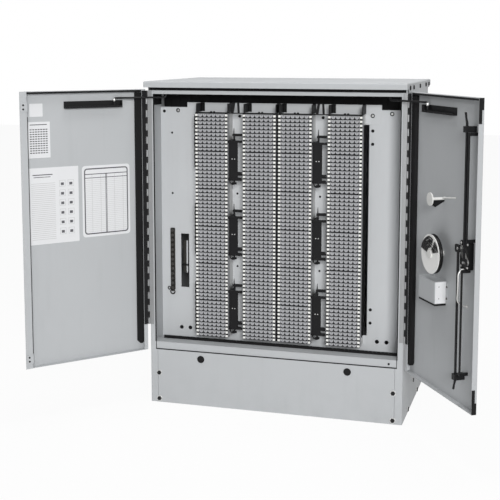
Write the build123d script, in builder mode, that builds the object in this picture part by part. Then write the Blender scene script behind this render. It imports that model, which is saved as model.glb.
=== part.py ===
from build123d import *
import math
import os

# Two-door cross-connect cabinet on a plinth, with its doors open on their stays. Millimetres.
# X runs along the front, the front faces -Y, Z is up, and the origin is the middle of the foot.
os.makedirs("parts", exist_ok=True)

# Cabinet shell
WIDTH = 1000.0
DEPTH = 580.0
BASE_HEIGHT = 216.0
HOOD_TOP = 1271.0
SHEET = 2.0
BEND = 4.0
JAMB = 22.0
REAR_FLANGE = 22.0
SHELF_FLANGE = 30.0
RELIEF = 1.0

# Plinth
BASE_SHEET = 3.0
BASE_FRONT_FLANGE = 29.0
BASE_STEP_FLANGE = 28.0
BASE_REAR_FLANGE = 30.0
FOOT_FLANGE = 55.0
PANEL_GAP = 1.0
ANCHOR_SPACING_X = WIDTH - 70.0
ANCHOR_SPACING_Y = DEPTH - 150.0
ANCHOR_HOLE = 14.0
PLUG_SPACING = 582.0
PLUG_DROP = 29.0
PLUG_HOLE = 26.0
PLUG_CAP = 28.5
PLUG_CAP_HEIGHT = 2.5
PLUG_SHANK = 6.0
FIT = 0.1
BOLT_ACROSS = 15.0
BOLT_HEAD = 5.0
FRONT_BOLT_SPACING = WIDTH - 70.0
FRONT_BOLT_LOW = 15.0
FRONT_BOLT_HIGH = 120.0
SIDE_BOLT_LOW = 14.0
SIDE_BOLT_HIGH = 92.0
SIDE_BOLT_SPACING = 255.2
SIDE_BOLT_FORWARD = 14.0

# Hood
HOOD_OVERHANG = 38.0
HOOD_SIDE_OVERHANG = 5.0
HOOD_SKIRT = 23.0
HOOD_SIDE_SKIRT = 31.0
HOOD_FLAP = 54.0
HOOD_FLAP_SETBACK = 14.0
HOOD_FLAP_LENGTH = DEPTH - 104.0
HOOD_FLAP_CORNER = 16.0
HOOD_EDGE = 5.0
VENT_HOLE = 13.0
VENT_DROP = 18.0
VENT_END_SPACING = DEPTH - 48.0
VENT_INNER_SPACING = 348.0

# Door opening
HEADER_BOTTOM = HOOD_TOP - 49.0
HEADER_HEIGHT = 40.0
HEADER_SHELF = 42.0
HEADER_HEM = 12.0
SILL_TOP = BASE_HEIGHT + 30.0
SILL_SHELF = 62.0
SILL_HEM = 14.0
FLOOR_OPENING_X = WIDTH - 300.0
FLOOR_OPENING_Y = 230.0
FLOOR_OPENING_SETBACK = 34.0

# Equipment panel
PANEL_SETBACK = 130.0
PANEL_BOTTOM = BASE_HEIGHT + 16.0
PANEL_TOP = HOOD_TOP - 86.0
PANEL_END_FLANGE = 25.0
PANEL_FOOT = 14.0
NOTCH_WIDTH = 112.0
NOTCH_DEPTH = 19.0
WINDOW_EDGE = 100.0
WINDOW_WIDTH = 34.0
WINDOW_LOW = PANEL_BOTTOM + 210.0
WINDOW_TALL = 218.0
SLOT_CLEAR = 6.5
SLOT_WIDTH = 13.0
SLOT_LOW = PANEL_BOTTOM + 66.0
SLOT_HIGH = PANEL_TOP - 75.0
CABLE_HOLE = 16.0
CABLE_HOLE_EDGES = (83.0, 120.0)
CABLE_HOLE_RISE = 44.0
GROUND_EDGE = 49.0
GROUND_WIDTH = 18.0
GROUND_THICKNESS = 6.0
GROUND_LOW = PANEL_BOTTOM + 196.0
GROUND_SCREWS = 13
GROUND_PITCH = 19.5
GROUND_SCREW = 11.0
GROUND_SCREW_HEAD = 4.0

# Terminal columns
COLUMN_WIDTH = 130.0
COLUMN_BOTTOM = PANEL_BOTTOM + 34.0
COLUMN_TOP = PANEL_TOP - 37.0
COLUMN_INNER_X = 70.0
COLUMN_OUTER_X = 262.0
CHANNEL_DEPTH = 50.0
CHANNEL_INSET = 2.0
BLOCKS = 6
ROWS = 10
ROW_PITCH = (COLUMN_TOP - COLUMN_BOTTOM) / (BLOCKS * ROWS)
BLOCK_GAP = 1.2
BLOCK_DEPTH = 25.0
GROOVE = 5.2
GROOVE_DEPTH = 8.0
FINGER_SHEET = 3.0
FINGER_FOOT = 14.0
FINGER_REACH = 66.0
FINGER_GAP = 4.0

# Wire guides
GUIDES = 3
GUIDE_DROP = 28.0
GUIDE_TALL = 196.0
GUIDE_TOP = 26.0
GUIDE_FOOT = 14.0
GUIDE_BODY = 34.0
GUIDE_STEM = 6.0
GUIDE_EAR = 4.0
GUIDE_EAR_TALL = 12.0
GUIDE_SHEET = 4.0
GUIDE_REACH = 70.0
GUIDE_INSET = 5.0
PRONG = 18.0
PRONG_THICK = 8.0
PRONG_SPACE = 12.0

# Hinges
HINGE_OUT = 5.0
LEAF_SHEET = 1.5
LEAF_GAP = 0.6
LEAF_WIDTH = 20.0
BARREL = 8.0
BARREL_CLEAR = 0.5
PIN = 4.0
RUNNING = 0.05
KNUCKLES = 36
KNUCKLE_GAP = 0.6

# Doors
LEFT_OPEN = 131.0
RIGHT_OPEN = 123.0
DOOR_BOTTOM = BASE_HEIGHT - 4.0
DOOR_TOP = HOOD_TOP - 31.0
HINGE_LOW = DOOR_BOTTOM + 103.0
HINGE_HIGH = DOOR_TOP - 5.0
DOOR_DEPTH = 20.0
MEETING_GAP = 9.0
MEETING_OFFSET = 18.0
LIP = 25.0
LIP_GAP = 0.8
HINGE_LIP = 16.0
SEAL_START = 24.0
SEAL_WIDTH = 20.0
SEAL_THICK = 14.0
SEAL_LOW = DOOR_BOTTOM + 28.0
SEAL_HIGH = DOOR_TOP - 12.0
TRIM_TALL = 7.0
TRIM_THICK = 4.0
CORNER_THICK = 3.0
CORNER_TALL = 38.0
CORNER_TAIL = 44.0
CORNER_TAIL_WIDTH = 10.0
CLIP_SHEET = 2.0
CLIP_WIDTH = 27.0
CLIP_TALL = 32.0
CLIP_SCREW = 4.5
CLIP_SCREW_PITCH = 13.0
CLIP_LOW = DOOR_BOTTOM + 20.0
CLIP_HIGH = DOOR_TOP - 72.0

# Door stays
STAY_ROD = 7.0
STAY_PIVOT_IN = 71.0
STAY_PIVOT_BACK = 22.0
STAY_HEIGHT = HEADER_BOTTOM - 13.0
STAY_BEND = 8.0
STAY_TAIL = 12.0
STAY_START = 102.0
STAY_LENGTH = 232.0
STAY_LOW = STAY_HEIGHT - 35.0
STAY_TALL = 26.0
STAY_LIP = 7.0
STAY_SHEET = 2.0
STAY_REST_GAP = 25.0
STAY_LEG_GAP = 2.0

# Latch on the right door
LATCH_EDGE = 74.0
LATCH_HEIGHT = (DOOR_BOTTOM + DOOR_TOP) / 2
LATCH_WIDTH = 60.0
LATCH_TALL = 94.0
LATCH_CORNER = 8.0
LATCH_FACE_GAP = 0.6
SPINDLE = 16.0
SPINDLE_HOLE = 18.0
HEX_ACROSS = 24.0
HEX_HEIGHT = 8.0
CAM_REACH = 28.28
CAM_WIDTH = 24.0
CAM_THICK = 4.0
CAM_PIN = 8.0
CAM_PIN_SHOW = 2.0
ROD_LIFT = 10.0
ROD_THICK = 5.0
ROD_WIDTH = 9.0
ROD_TOP = HEADER_BOTTOM - 30.0
ROD_BOTTOM = SILL_TOP + 22.0
ROD_TIP = 34.0
ROD_TIP_WIDTH = 7.0
ROD_HOOK = 10.0
ROD_EYE_TALL = 26.0
ROD_EYE_WALL = 6.0
ROD_EYE_CLEAR = 1.2
ROD_GUIDE_LOW = DOOR_BOTTOM + 92.0
ROD_GUIDE_HIGH = DOOR_TOP - 112.0
ROD_GUIDE_TALL = 20.0
ROD_GUIDE_WALL = 5.0
ROD_GUIDE_CLEAR = 0.6
KEEPER_CLEAR = 2.5
UPPER_GUARD_OFFSET = 13.0
LOWER_GUARD_OFFSET = 26.0
GUARD_WIDTH = 6.0
GUARD_FOOT = 10.0

# Pegs, reel and box on the right door
PEG_EDGE = 262.0
PEG = 10.0
UPPER_PEG_HEIGHT = LATCH_HEIGHT + 161.0
UPPER_PEG_LENGTH = 50.0
UPPER_DISC = 45.0
DISC_THICK = 4.0
REEL_HEIGHT = LATCH_HEIGHT - 28.0
REEL_DISC = 30.0
REEL_FLANGE = 136.0
REEL_FLANGE_THICK = 2.0
REEL_DRUM = 52.0
REEL_WIDTH = 16.0
REEL_PLAY = 0.3
REEL_STANDOFF = 32.0
WINDING = 126.0
BOX_EDGE = 230.0
BOX_LENGTH = 126.0
BOX_LOW = LATCH_HEIGHT - 197.0
BOX_TALL = 77.0
BOX_DEEP = 43.0

# Places that follow from the sizes above
SIDE = WIDTH / 2
FRONT = -DEPTH / 2
BACK = DEPTH / 2
INSIDE = SIDE - SHEET
HOOD_SEAT = HOOD_TOP - SHEET
FLOOR_Z = BASE_HEIGHT + SHEET
LINER_FRONT = FRONT + SHEET
PANEL_Y = FRONT + PANEL_SETBACK
BLOCK_HEIGHT = ROWS * ROW_PITCH
COLUMN_EDGE = COLUMN_OUTER_X + COLUMN_WIDTH / 2
COLUMN_CENTRES = (-COLUMN_OUTER_X, -COLUMN_INNER_X, COLUMN_INNER_X, COLUMN_OUTER_X)
CHANNEL_FRONT = PANEL_Y - CHANNEL_DEPTH
HINGE_FORWARD = LEAF_GAP / 2 + LEAF_SHEET
HINGE_X = SIDE + HINGE_OUT
HINGE_Y = FRONT - HINGE_FORWARD
LEFT_EDGE = HINGE_X - MEETING_OFFSET
RIGHT_EDGE = HINGE_X + MEETING_OFFSET - MEETING_GAP
LATCH_ALONG = RIGHT_EDGE - LATCH_EDGE
PEG_ALONG = RIGHT_EDGE - PEG_EDGE
RIM = -HINGE_FORWARD
SKIN_OUT = RIM - DOOR_DEPTH
SKIN_IN = SKIN_OUT + SHEET
KNUCKLE = (HINGE_HIGH - HINGE_LOW) / KNUCKLES
LIP_OUT = RIM + LIP_GAP
STAY_LEG_ALONG = STAY_START + STAY_SHEET + STAY_REST_GAP + STAY_ROD / 2
STAY_LEG_INWARD = (SKIN_IN + STAY_SHEET + RIM) / 2
STAY_LEG_FOOT = STAY_LOW + STAY_LIP + STAY_LEG_GAP
CAM_OFFSET = CAM_REACH / math.sqrt(2)
LATCH_FACE = RIM - LATCH_FACE_GAP
CAM_BACK = LATCH_FACE + LATCH_FACE_GAP
CAM_FRONT = CAM_BACK + CAM_THICK
ROD_BACK = ROD_LIFT - ROD_THICK / 2
ROD_FRONT = ROD_LIFT + ROD_THICK / 2
UPPER_ROD_ALONG = LATCH_ALONG + CAM_OFFSET
LOWER_ROD_ALONG = LATCH_ALONG - CAM_OFFSET
DOORS = {"left": (-1, LEFT_OPEN), "right": (1, RIGHT_OPEN)}


def save(piece, name):
    """Labels a finished piece and writes it."""
    piece.part.label = name
    export_step(piece.part, f"parts/{name}.step")


def block(x, y, z, mode=Mode.ADD):
    """A plain flange or bar between two limits along each axis."""
    with Locations(((x[0] + x[1]) / 2, (y[0] + y[1]) / 2, (z[0] + z[1]) / 2)):
        Box(x[1] - x[0], y[1] - y[0], z[1] - z[0], mode=mode)


def fold(points, thickness):
    """The section of a sheet folded along points, with its thickness to the left of the line."""
    with BuildSketch() as section:
        with BuildLine():
            line = Polyline(*points)
            offset(line, amount=thickness, side=Side.LEFT, kind=Kind.INTERSECTION)
        make_face()
    return section.sketch


def span(x, y):
    """A rectangle between two limits along each axis of a sketch."""
    with Locations(((x[0] + x[1]) / 2, (y[0] + y[1]) / 2)):
        Rectangle(x[1] - x[0], y[1] - y[0])


def door_axes(side, opened):
    """The direction along a door from its hinge, and the direction from its skin to its inside."""
    turn = math.radians(opened)
    along = (-side * math.cos(turn), -math.sin(turn), 0)
    inward = (-side * math.sin(turn), math.cos(turn), 0)
    return along, inward


def door_point(side, opened, along_by, inward_by, z):
    """A point given by its distances along and inward from a door's hinge axis."""
    along, inward = door_axes(side, opened)
    x = side * HINGE_X + along_by * along[0] + inward_by * inward[0]
    y = HINGE_Y + along_by * along[1] + inward_by * inward[1]
    return (x, y, z)


def door_plan(side, opened, low, high):
    """A level plane at one end of a door piece: x runs along the door, y inward, z over its height."""
    along, _ = door_axes(side, opened)
    start = low if side < 0 else high
    return Plane(origin=(side * HINGE_X, HINGE_Y, start), x_dir=along, z_dir=(0, 0, -side))


def door_face(side, opened, inward_by):
    """A plane parallel to the right door: x runs along the door, y up, z inward."""
    along, inward = door_axes(side, opened)
    origin = door_point(side, opened, 0, inward_by, 0)
    return Plane(origin=origin, x_dir=along, z_dir=inward)


def mirrored(piece, name):
    """The left-hand copy of a right-hand piece."""
    with BuildPart() as copy:
        mirror(piece.part, about=Plane.YZ)
    save(copy, name)


# Plinth
with BuildPart() as base_side:
    with BuildSketch(Plane.XY):
        add(fold([
            (SIDE - BASE_FRONT_FLANGE - BASE_STEP_FLANGE, FRONT + BASE_SHEET),
            (SIDE - BASE_FRONT_FLANGE, FRONT + BASE_SHEET),
            (SIDE - BASE_FRONT_FLANGE, FRONT),
            (SIDE, FRONT),
            (SIDE, BACK),
            (SIDE - BASE_REAR_FLANGE, BACK),
        ], BASE_SHEET))
    extrude(amount=BASE_HEIGHT)
    fillet(base_side.edges().filter_by(Axis.Z).group_by(Axis.X)[-1], radius=BEND)
    flange_y = (FRONT + 2 * BASE_SHEET + RELIEF, BACK - 2 * BASE_SHEET - RELIEF)
    block((SIDE - FOOT_FLANGE, SIDE - BASE_SHEET), flange_y, (0, BASE_SHEET))
    block((SIDE - FOOT_FLANGE, SIDE - BASE_SHEET), flange_y, (BASE_HEIGHT - BASE_SHEET, BASE_HEIGHT))
    with BuildSketch(Plane.XY):
        for row in (-1, 1):
            with Locations((ANCHOR_SPACING_X / 2, row * ANCHOR_SPACING_Y / 2)):
                Circle(ANCHOR_HOLE / 2)
    extrude(amount=BASE_SHEET, mode=Mode.SUBTRACT)
save(base_side, "base_side_right")
mirrored(base_side, "base_side_left")

with BuildPart() as base_rear:
    base_rear_y = BACK - BASE_SHEET
    block((BASE_SHEET - SIDE, SIDE - BASE_SHEET), (base_rear_y - BASE_SHEET, base_rear_y), (0, BASE_HEIGHT))
save(base_rear, "base_rear_panel")

base_panel_half = SIDE - BASE_FRONT_FLANGE - PANEL_GAP
plug_height = BASE_HEIGHT - PLUG_DROP
with BuildPart() as base_front:
    block((-base_panel_half, base_panel_half), (FRONT, FRONT + BASE_SHEET), (0, BASE_HEIGHT - PANEL_GAP))
    with BuildSketch(Plane.XZ.offset(-FRONT)):
        with Locations((-PLUG_SPACING / 2, plug_height), (PLUG_SPACING / 2, plug_height)):
            Circle(PLUG_HOLE / 2)
    extrude(amount=-BASE_SHEET, mode=Mode.SUBTRACT)
save(base_front, "base_front_panel")

with BuildPart() as plugs:
    for side in (-1, 1):
        with BuildSketch(Plane.XZ.offset(-FRONT)):
            with Locations((side * PLUG_SPACING / 2, plug_height)):
                Circle(PLUG_CAP / 2)
        extrude(amount=PLUG_CAP_HEIGHT)
        with BuildSketch(Plane.XZ.offset(-FRONT)):
            with Locations((side * PLUG_SPACING / 2, plug_height)):
                Circle(PLUG_HOLE / 2 - FIT)
        extrude(amount=-PLUG_SHANK)
    chamfer(plugs.faces().sort_by(Axis.Y)[0:2].edges(), length=PLUG_CAP_HEIGHT / 3)
save(plugs, "knockout_plugs")

with BuildPart() as base_bolts:
    with BuildSketch(Plane.XZ.offset(-FRONT)):
        for side in (-1, 1):
            bolt_x = side * FRONT_BOLT_SPACING / 2
            with Locations((bolt_x, FRONT_BOLT_LOW), (bolt_x, FRONT_BOLT_HIGH)):
                RegularPolygon(BOLT_ACROSS / 2, 6, major_radius=False)
    extrude(amount=BOLT_HEAD)
    for side in (-1, 1):
        with BuildSketch(Plane.YZ.offset(side * SIDE)):
            with Locations(
                (-SIDE_BOLT_FORWARD - SIDE_BOLT_SPACING / 2, SIDE_BOLT_LOW),
                (-SIDE_BOLT_FORWARD, SIDE_BOLT_HIGH),
                (-SIDE_BOLT_FORWARD + SIDE_BOLT_SPACING / 2, SIDE_BOLT_LOW),
            ):
                RegularPolygon(BOLT_ACROSS / 2, 6, major_radius=False)
        extrude(amount=side * BOLT_HEAD)
save(base_bolts, "base_bolts")

# Cabinet shell
with BuildPart() as side_panel:
    with BuildSketch(Plane.XY.offset(BASE_HEIGHT)):
        add(fold([
            (SIDE - JAMB, FRONT),
            (SIDE, FRONT),
            (SIDE, BACK),
            (SIDE - REAR_FLANGE, BACK),
        ], SHEET))
    extrude(amount=HOOD_SEAT - BASE_HEIGHT)
    fillet(side_panel.edges().filter_by(Axis.Z).group_by(Axis.X)[-1], radius=BEND)
    shelf_y = (FRONT + 2 * SHEET + RELIEF, BACK - 2 * SHEET - RELIEF)
    block((SIDE - SHELF_FLANGE, INSIDE), shelf_y, (BASE_HEIGHT, FLOOR_Z))
    block((SIDE - SHELF_FLANGE, INSIDE), shelf_y, (HOOD_SEAT - SHEET, HOOD_SEAT))
save(side_panel, "side_panel_right")
mirrored(side_panel, "side_panel_left")

with BuildPart() as back_panel:
    block((-INSIDE, INSIDE), (BACK - 2 * SHEET, BACK - SHEET), (FLOOR_Z + SHEET, HOOD_SEAT - SHEET - RELIEF))
save(back_panel, "back_panel")

with BuildPart() as floor_panel:
    with BuildSketch(Plane.XY.offset(FLOOR_Z)):
        span((-INSIDE, INSIDE), (LINER_FRONT + SHEET, BACK - SHEET))
        with Locations((0, BACK - FLOOR_OPENING_SETBACK - FLOOR_OPENING_Y / 2)):
            RectangleRounded(FLOOR_OPENING_X, FLOOR_OPENING_Y, SHELF_FLANGE, mode=Mode.SUBTRACT)
    extrude(amount=SHEET)
save(floor_panel, "floor_panel")

keeper_long = ROD_WIDTH + ROD_HOOK + 2 * KEEPER_CLEAR
with BuildPart() as header:
    with BuildSketch(Plane.YZ.offset(-INSIDE)):
        add(fold([
            (LINER_FRONT + HEADER_SHELF, HEADER_BOTTOM + HEADER_HEIGHT),
            (LINER_FRONT, HEADER_BOTTOM + HEADER_HEIGHT),
            (LINER_FRONT, HEADER_BOTTOM),
            (LINER_FRONT + HEADER_SHELF, HEADER_BOTTOM),
        ], SHEET))
    extrude(amount=2 * INSIDE)
    hem_y = LINER_FRONT + HEADER_SHELF
    block((-INSIDE, INSIDE), (hem_y - SHEET, hem_y), (HEADER_BOTTOM, HEADER_BOTTOM + HEADER_HEM))
    with BuildSketch(Plane.XY.offset(HEADER_BOTTOM)):
        for side in (-1, 1):
            with Locations(door_point(side, 0, STAY_PIVOT_IN, STAY_PIVOT_BACK, 0)[0:2]):
                Circle(STAY_ROD / 2 + RUNNING)
        with Locations(door_point(1, 0, UPPER_ROD_ALONG - ROD_HOOK / 2, ROD_LIFT, 0)[0:2]):
            Rectangle(keeper_long, ROD_THICK + 2 * KEEPER_CLEAR)
    extrude(amount=SHEET, mode=Mode.SUBTRACT)
save(header, "front_header")

with BuildPart() as sill:
    with BuildSketch(Plane.YZ.offset(-INSIDE)):
        add(fold([
            (LINER_FRONT + SILL_SHELF, SILL_TOP - SILL_HEM),
            (LINER_FRONT + SILL_SHELF, SILL_TOP),
            (LINER_FRONT, SILL_TOP),
            (LINER_FRONT, FLOOR_Z),
        ], SHEET))
    extrude(amount=2 * INSIDE)
    with BuildSketch(Plane.XY.offset(SILL_TOP - SHEET)):
        with Locations(door_point(1, 0, LOWER_ROD_ALONG - ROD_HOOK / 2, ROD_LIFT, 0)[0:2]):
            Rectangle(keeper_long, ROD_THICK + 2 * KEEPER_CLEAR)
    extrude(amount=SHEET, mode=Mode.SUBTRACT)
save(sill, "front_sill")

# Hood
hood_half = SIDE + HOOD_SIDE_OVERHANG
hood_front = FRONT - HOOD_OVERHANG
hood_back = BACK + HOOD_OVERHANG
with BuildPart() as hood:
    block((-hood_half, hood_half), (hood_front, hood_back), (HOOD_TOP - HOOD_SIDE_SKIRT, HOOD_TOP))
    fillet(hood.edges().filter_by(Axis.Z), radius=HOOD_EDGE)
    fillet(hood.faces().sort_by(Axis.Z)[-1].edges(), radius=HOOD_EDGE)
    offset(amount=-SHEET, openings=hood.faces().sort_by(Axis.Z)[0])
    low_skirt = (HOOD_TOP - HOOD_SIDE_SKIRT, HOOD_TOP - HOOD_SKIRT)
    block((-hood_half, hood_half), (hood_front, FRONT + HOOD_FLAP_SETBACK), low_skirt, mode=Mode.SUBTRACT)
    block((-hood_half, hood_half), (BACK, hood_back), low_skirt, mode=Mode.SUBTRACT)
    for side in (-1, 1):
        with BuildSketch(Plane.YZ.offset(side * hood_half)):
            span(
                (FRONT + HOOD_FLAP_SETBACK, FRONT + HOOD_FLAP_SETBACK + HOOD_FLAP_LENGTH),
                (HOOD_TOP - HOOD_FLAP, HOOD_TOP - HOOD_SIDE_SKIRT),
            )
        extrude(amount=-side * SHEET)
    flap_ends = hood.edges().filter_by(Axis.X).group_by(Axis.Z)[0]
    fillet(flap_ends.sort_by(Axis.Y)[-2:], radius=HOOD_FLAP_CORNER)
    with BuildSketch(Plane.YZ.offset(-hood_half)):
        with Locations((0, HOOD_TOP - VENT_DROP)):
            Circle(VENT_HOLE / 2)
            for vent_spacing in (VENT_INNER_SPACING, VENT_END_SPACING):
                with GridLocations(vent_spacing, vent_spacing, 2, 1):
                    Circle(VENT_HOLE / 2)
    extrude(amount=2 * hood_half, mode=Mode.SUBTRACT)
save(hood, "hood")

# Equipment panel
with BuildPart() as equipment_panel:
    with BuildSketch(Plane.XY.offset(PANEL_BOTTOM)):
        add(fold([
            (-INSIDE, PANEL_Y + PANEL_END_FLANGE),
            (-INSIDE, PANEL_Y),
            (INSIDE, PANEL_Y),
            (INSIDE, PANEL_Y + PANEL_END_FLANGE),
        ], SHEET))
    extrude(amount=PANEL_TOP - PANEL_BOTTOM)
    block((-INSIDE, INSIDE), (PANEL_Y - PANEL_FOOT, PANEL_Y), (PANEL_BOTTOM, PANEL_BOTTOM + SHEET))
    with BuildSketch(Plane.XZ.offset(-PANEL_Y)):
        for side in (-1, 1):
            span(
                sorted((side * (INSIDE - NOTCH_WIDTH), side * INSIDE)),
                (PANEL_TOP - NOTCH_DEPTH, PANEL_TOP),
            )
        with Locations((WINDOW_EDGE - SIDE, WINDOW_LOW + WINDOW_TALL / 2)):
            Rectangle(WINDOW_WIDTH, WINDOW_TALL)
        with Locations((COLUMN_EDGE + SLOT_CLEAR, (SLOT_LOW + SLOT_HIGH) / 2)):
            Rectangle(SLOT_WIDTH, SLOT_HIGH - SLOT_LOW)
        for hole_edge in CABLE_HOLE_EDGES:
            with Locations((0, PANEL_BOTTOM + CABLE_HOLE_RISE)):
                with GridLocations(WIDTH - 2 * hole_edge, CABLE_HOLE, 2, 1):
                    Circle(CABLE_HOLE / 2)
    extrude(amount=-PANEL_END_FLANGE, mode=Mode.SUBTRACT)
save(equipment_panel, "equipment_panel")

ground_x = GROUND_EDGE - SIDE
ground_high = GROUND_LOW + GROUND_SCREWS * GROUND_PITCH
with BuildPart() as ground_bar:
    with BuildSketch(Plane.XZ.offset(-PANEL_Y)):
        with Locations((ground_x, (GROUND_LOW + ground_high) / 2)):
            RectangleRounded(GROUND_WIDTH, ground_high - GROUND_LOW, GROUND_WIDTH / 4)
    extrude(amount=GROUND_THICKNESS)
save(ground_bar, "ground_bar")

with BuildPart() as ground_screws:
    with BuildSketch(Plane.XZ.offset(GROUND_THICKNESS - PANEL_Y)):
        with Locations((ground_x, (GROUND_LOW + ground_high) / 2)):
            with GridLocations(GROUND_PITCH, GROUND_PITCH, 1, GROUND_SCREWS):
                RegularPolygon(GROUND_SCREW / 2, 8)
    extrude(amount=GROUND_SCREW_HEAD)
save(ground_screws, "ground_screws")

# Terminal columns
for number, centre in enumerate(COLUMN_CENTRES, start=1):
    half_channel = COLUMN_WIDTH / 2 - CHANNEL_INSET
    with BuildPart() as channel:
        with BuildSketch(Plane.XY.offset(COLUMN_BOTTOM)):
            add(fold([
                (centre - half_channel, PANEL_Y),
                (centre - half_channel, CHANNEL_FRONT),
                (centre + half_channel, CHANNEL_FRONT),
                (centre + half_channel, PANEL_Y),
            ], SHEET))
        extrude(amount=COLUMN_TOP - COLUMN_BOTTOM)
    save(channel, f"column_channel_{number}")

    comb = [(CHANNEL_FRONT, 0)]
    comb_front = CHANNEL_FRONT - BLOCK_DEPTH
    comb_root = comb_front + GROOVE_DEPTH
    for row in range(ROWS):
        tooth_low = row * ROW_PITCH + (GROOVE - BLOCK_GAP) / 2
        tooth_high = tooth_low + ROW_PITCH - GROOVE
        comb.append((comb_root, tooth_low if row else 0))
        if not row:
            comb.append((comb_root, tooth_low))
        comb.append((comb_front, tooth_low))
        comb.append((comb_front, tooth_high))
        comb.append((comb_root, tooth_high))
    comb.append((comb_root, BLOCK_HEIGHT - BLOCK_GAP))
    comb.append((CHANNEL_FRONT, BLOCK_HEIGHT - BLOCK_GAP))
    with BuildPart() as terminal_block:
        with BuildSketch(Plane.YZ.offset(centre - COLUMN_WIDTH / 2)):
            with BuildLine():
                Polyline(*comb, close=True)
            make_face()
        extrude(amount=COLUMN_WIDTH)
    block_heights = [COLUMN_BOTTOM + BLOCK_GAP / 2 + tier * BLOCK_HEIGHT for tier in range(BLOCKS)]
    with BuildPart() as terminal_blocks:
        with Locations(*[(0, 0, height) for height in block_heights]):
            add(terminal_block.part)
    save(terminal_blocks, f"terminal_blocks_{number}")

finger_low = COLUMN_TOP + FINGER_GAP
with BuildPart() as cable_fingers:
    with BuildSketch(Plane.XY.offset(finger_low)):
        for centre in COLUMN_CENTRES:
            for side in (-1, 1):
                cheek = centre + side * COLUMN_WIDTH / 2
                span(sorted((cheek, cheek - side * FINGER_SHEET)), (PANEL_Y - FINGER_REACH, PANEL_Y))
                span(sorted((cheek, cheek - side * FINGER_FOOT)), (PANEL_Y - FINGER_SHEET, PANEL_Y))
    extrude(amount=PANEL_TOP - finger_low)
save(cable_fingers, "cable_fingers")

# Wire guides between the columns
guide_front = PANEL_Y - GUIDE_REACH
guide_starts = [
    COLUMN_WIDTH / 2 - COLUMN_OUTER_X + GUIDE_INSET,
    COLUMN_WIDTH / 2 + COLUMN_INNER_X + GUIDE_INSET,
]
guide_spacing = (COLUMN_TOP - COLUMN_BOTTOM) / GUIDES
with BuildPart() as wire_guides:
    for start in guide_starts:
        for tier in range(GUIDES):
            low = COLUMN_BOTTOM + (tier + 0.5) * guide_spacing - GUIDE_DROP - GUIDE_TALL / 2
            high = low + GUIDE_TALL
            body = (low + GUIDE_FOOT, high - GUIDE_TOP)
            body_end = start + GUIDE_BODY
            middle = start + GUIDE_BODY / 2
            lower_prong = body[0] + PRONG_THICK + PRONG_SPACE
            with BuildSketch(Plane.XZ.offset(-guide_front)):
                span((start, body_end), body)
                span((middle, middle + GUIDE_STEM), (low, high))
                span((middle - GUIDE_STEM, middle + 2 * GUIDE_STEM), (low, low + PRONG_THICK))
                span((middle, body_end + PRONG), (high - PRONG_THICK, high))
                span((start, body_end + PRONG), (body[1] - PRONG_THICK, body[1]))
                span((start, body_end + PRONG), (body[0], body[0] + PRONG_THICK))
                span((start, body_end + PRONG), (lower_prong, lower_prong + PRONG_THICK))
                for ear in (body[0], body[1] - GUIDE_EAR_TALL):
                    span((start - GUIDE_EAR, body_end), (ear, ear + GUIDE_EAR_TALL))
            extrude(amount=-GUIDE_SHEET)
            block((start, start + GUIDE_SHEET), (guide_front, PANEL_Y), body)
save(wire_guides, "wire_guides")

# Hinges: alternate knuckles belong to the cabinet's leaf and the door's leaf
for name, (side, opened) in DOORS.items():
    for owner, first, swing, leaf_side, play in (
        ("cabinet", 0, 0, 1, 0),
        ("door", 1, opened, -1, RUNNING),
    ):
        leaf_inward = sorted((leaf_side * LEAF_GAP / 2, leaf_side * HINGE_FORWARD))
        strip_start = BARREL / 2 + BARREL_CLEAR
        with BuildPart() as leaf:
            with BuildSketch(door_plan(side, swing, HINGE_LOW, HINGE_HIGH)):
                span((strip_start, LEAF_WIDTH), leaf_inward)
            extrude(amount=HINGE_HIGH - HINGE_LOW)
            for index in range(first, KNUCKLES, 2):
                low = HINGE_LOW + index * KNUCKLE + KNUCKLE_GAP / 2
                high = low + KNUCKLE - KNUCKLE_GAP
                with BuildSketch(door_plan(side, swing, low, high)):
                    Circle(BARREL / 2)
                    span((0, strip_start), leaf_inward)
                    Circle(PIN / 2 + play, mode=Mode.SUBTRACT)
                extrude(amount=high - low)
        save(leaf, f"hinge_leaf_{owner}_{name}")
    with BuildPart() as hinge_pin:
        with BuildSketch(door_plan(side, 0, HINGE_LOW, HINGE_HIGH)):
            Circle(PIN / 2)
        extrude(amount=HINGE_HIGH - HINGE_LOW)
    save(hinge_pin, f"hinge_pin_{name}")

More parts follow.
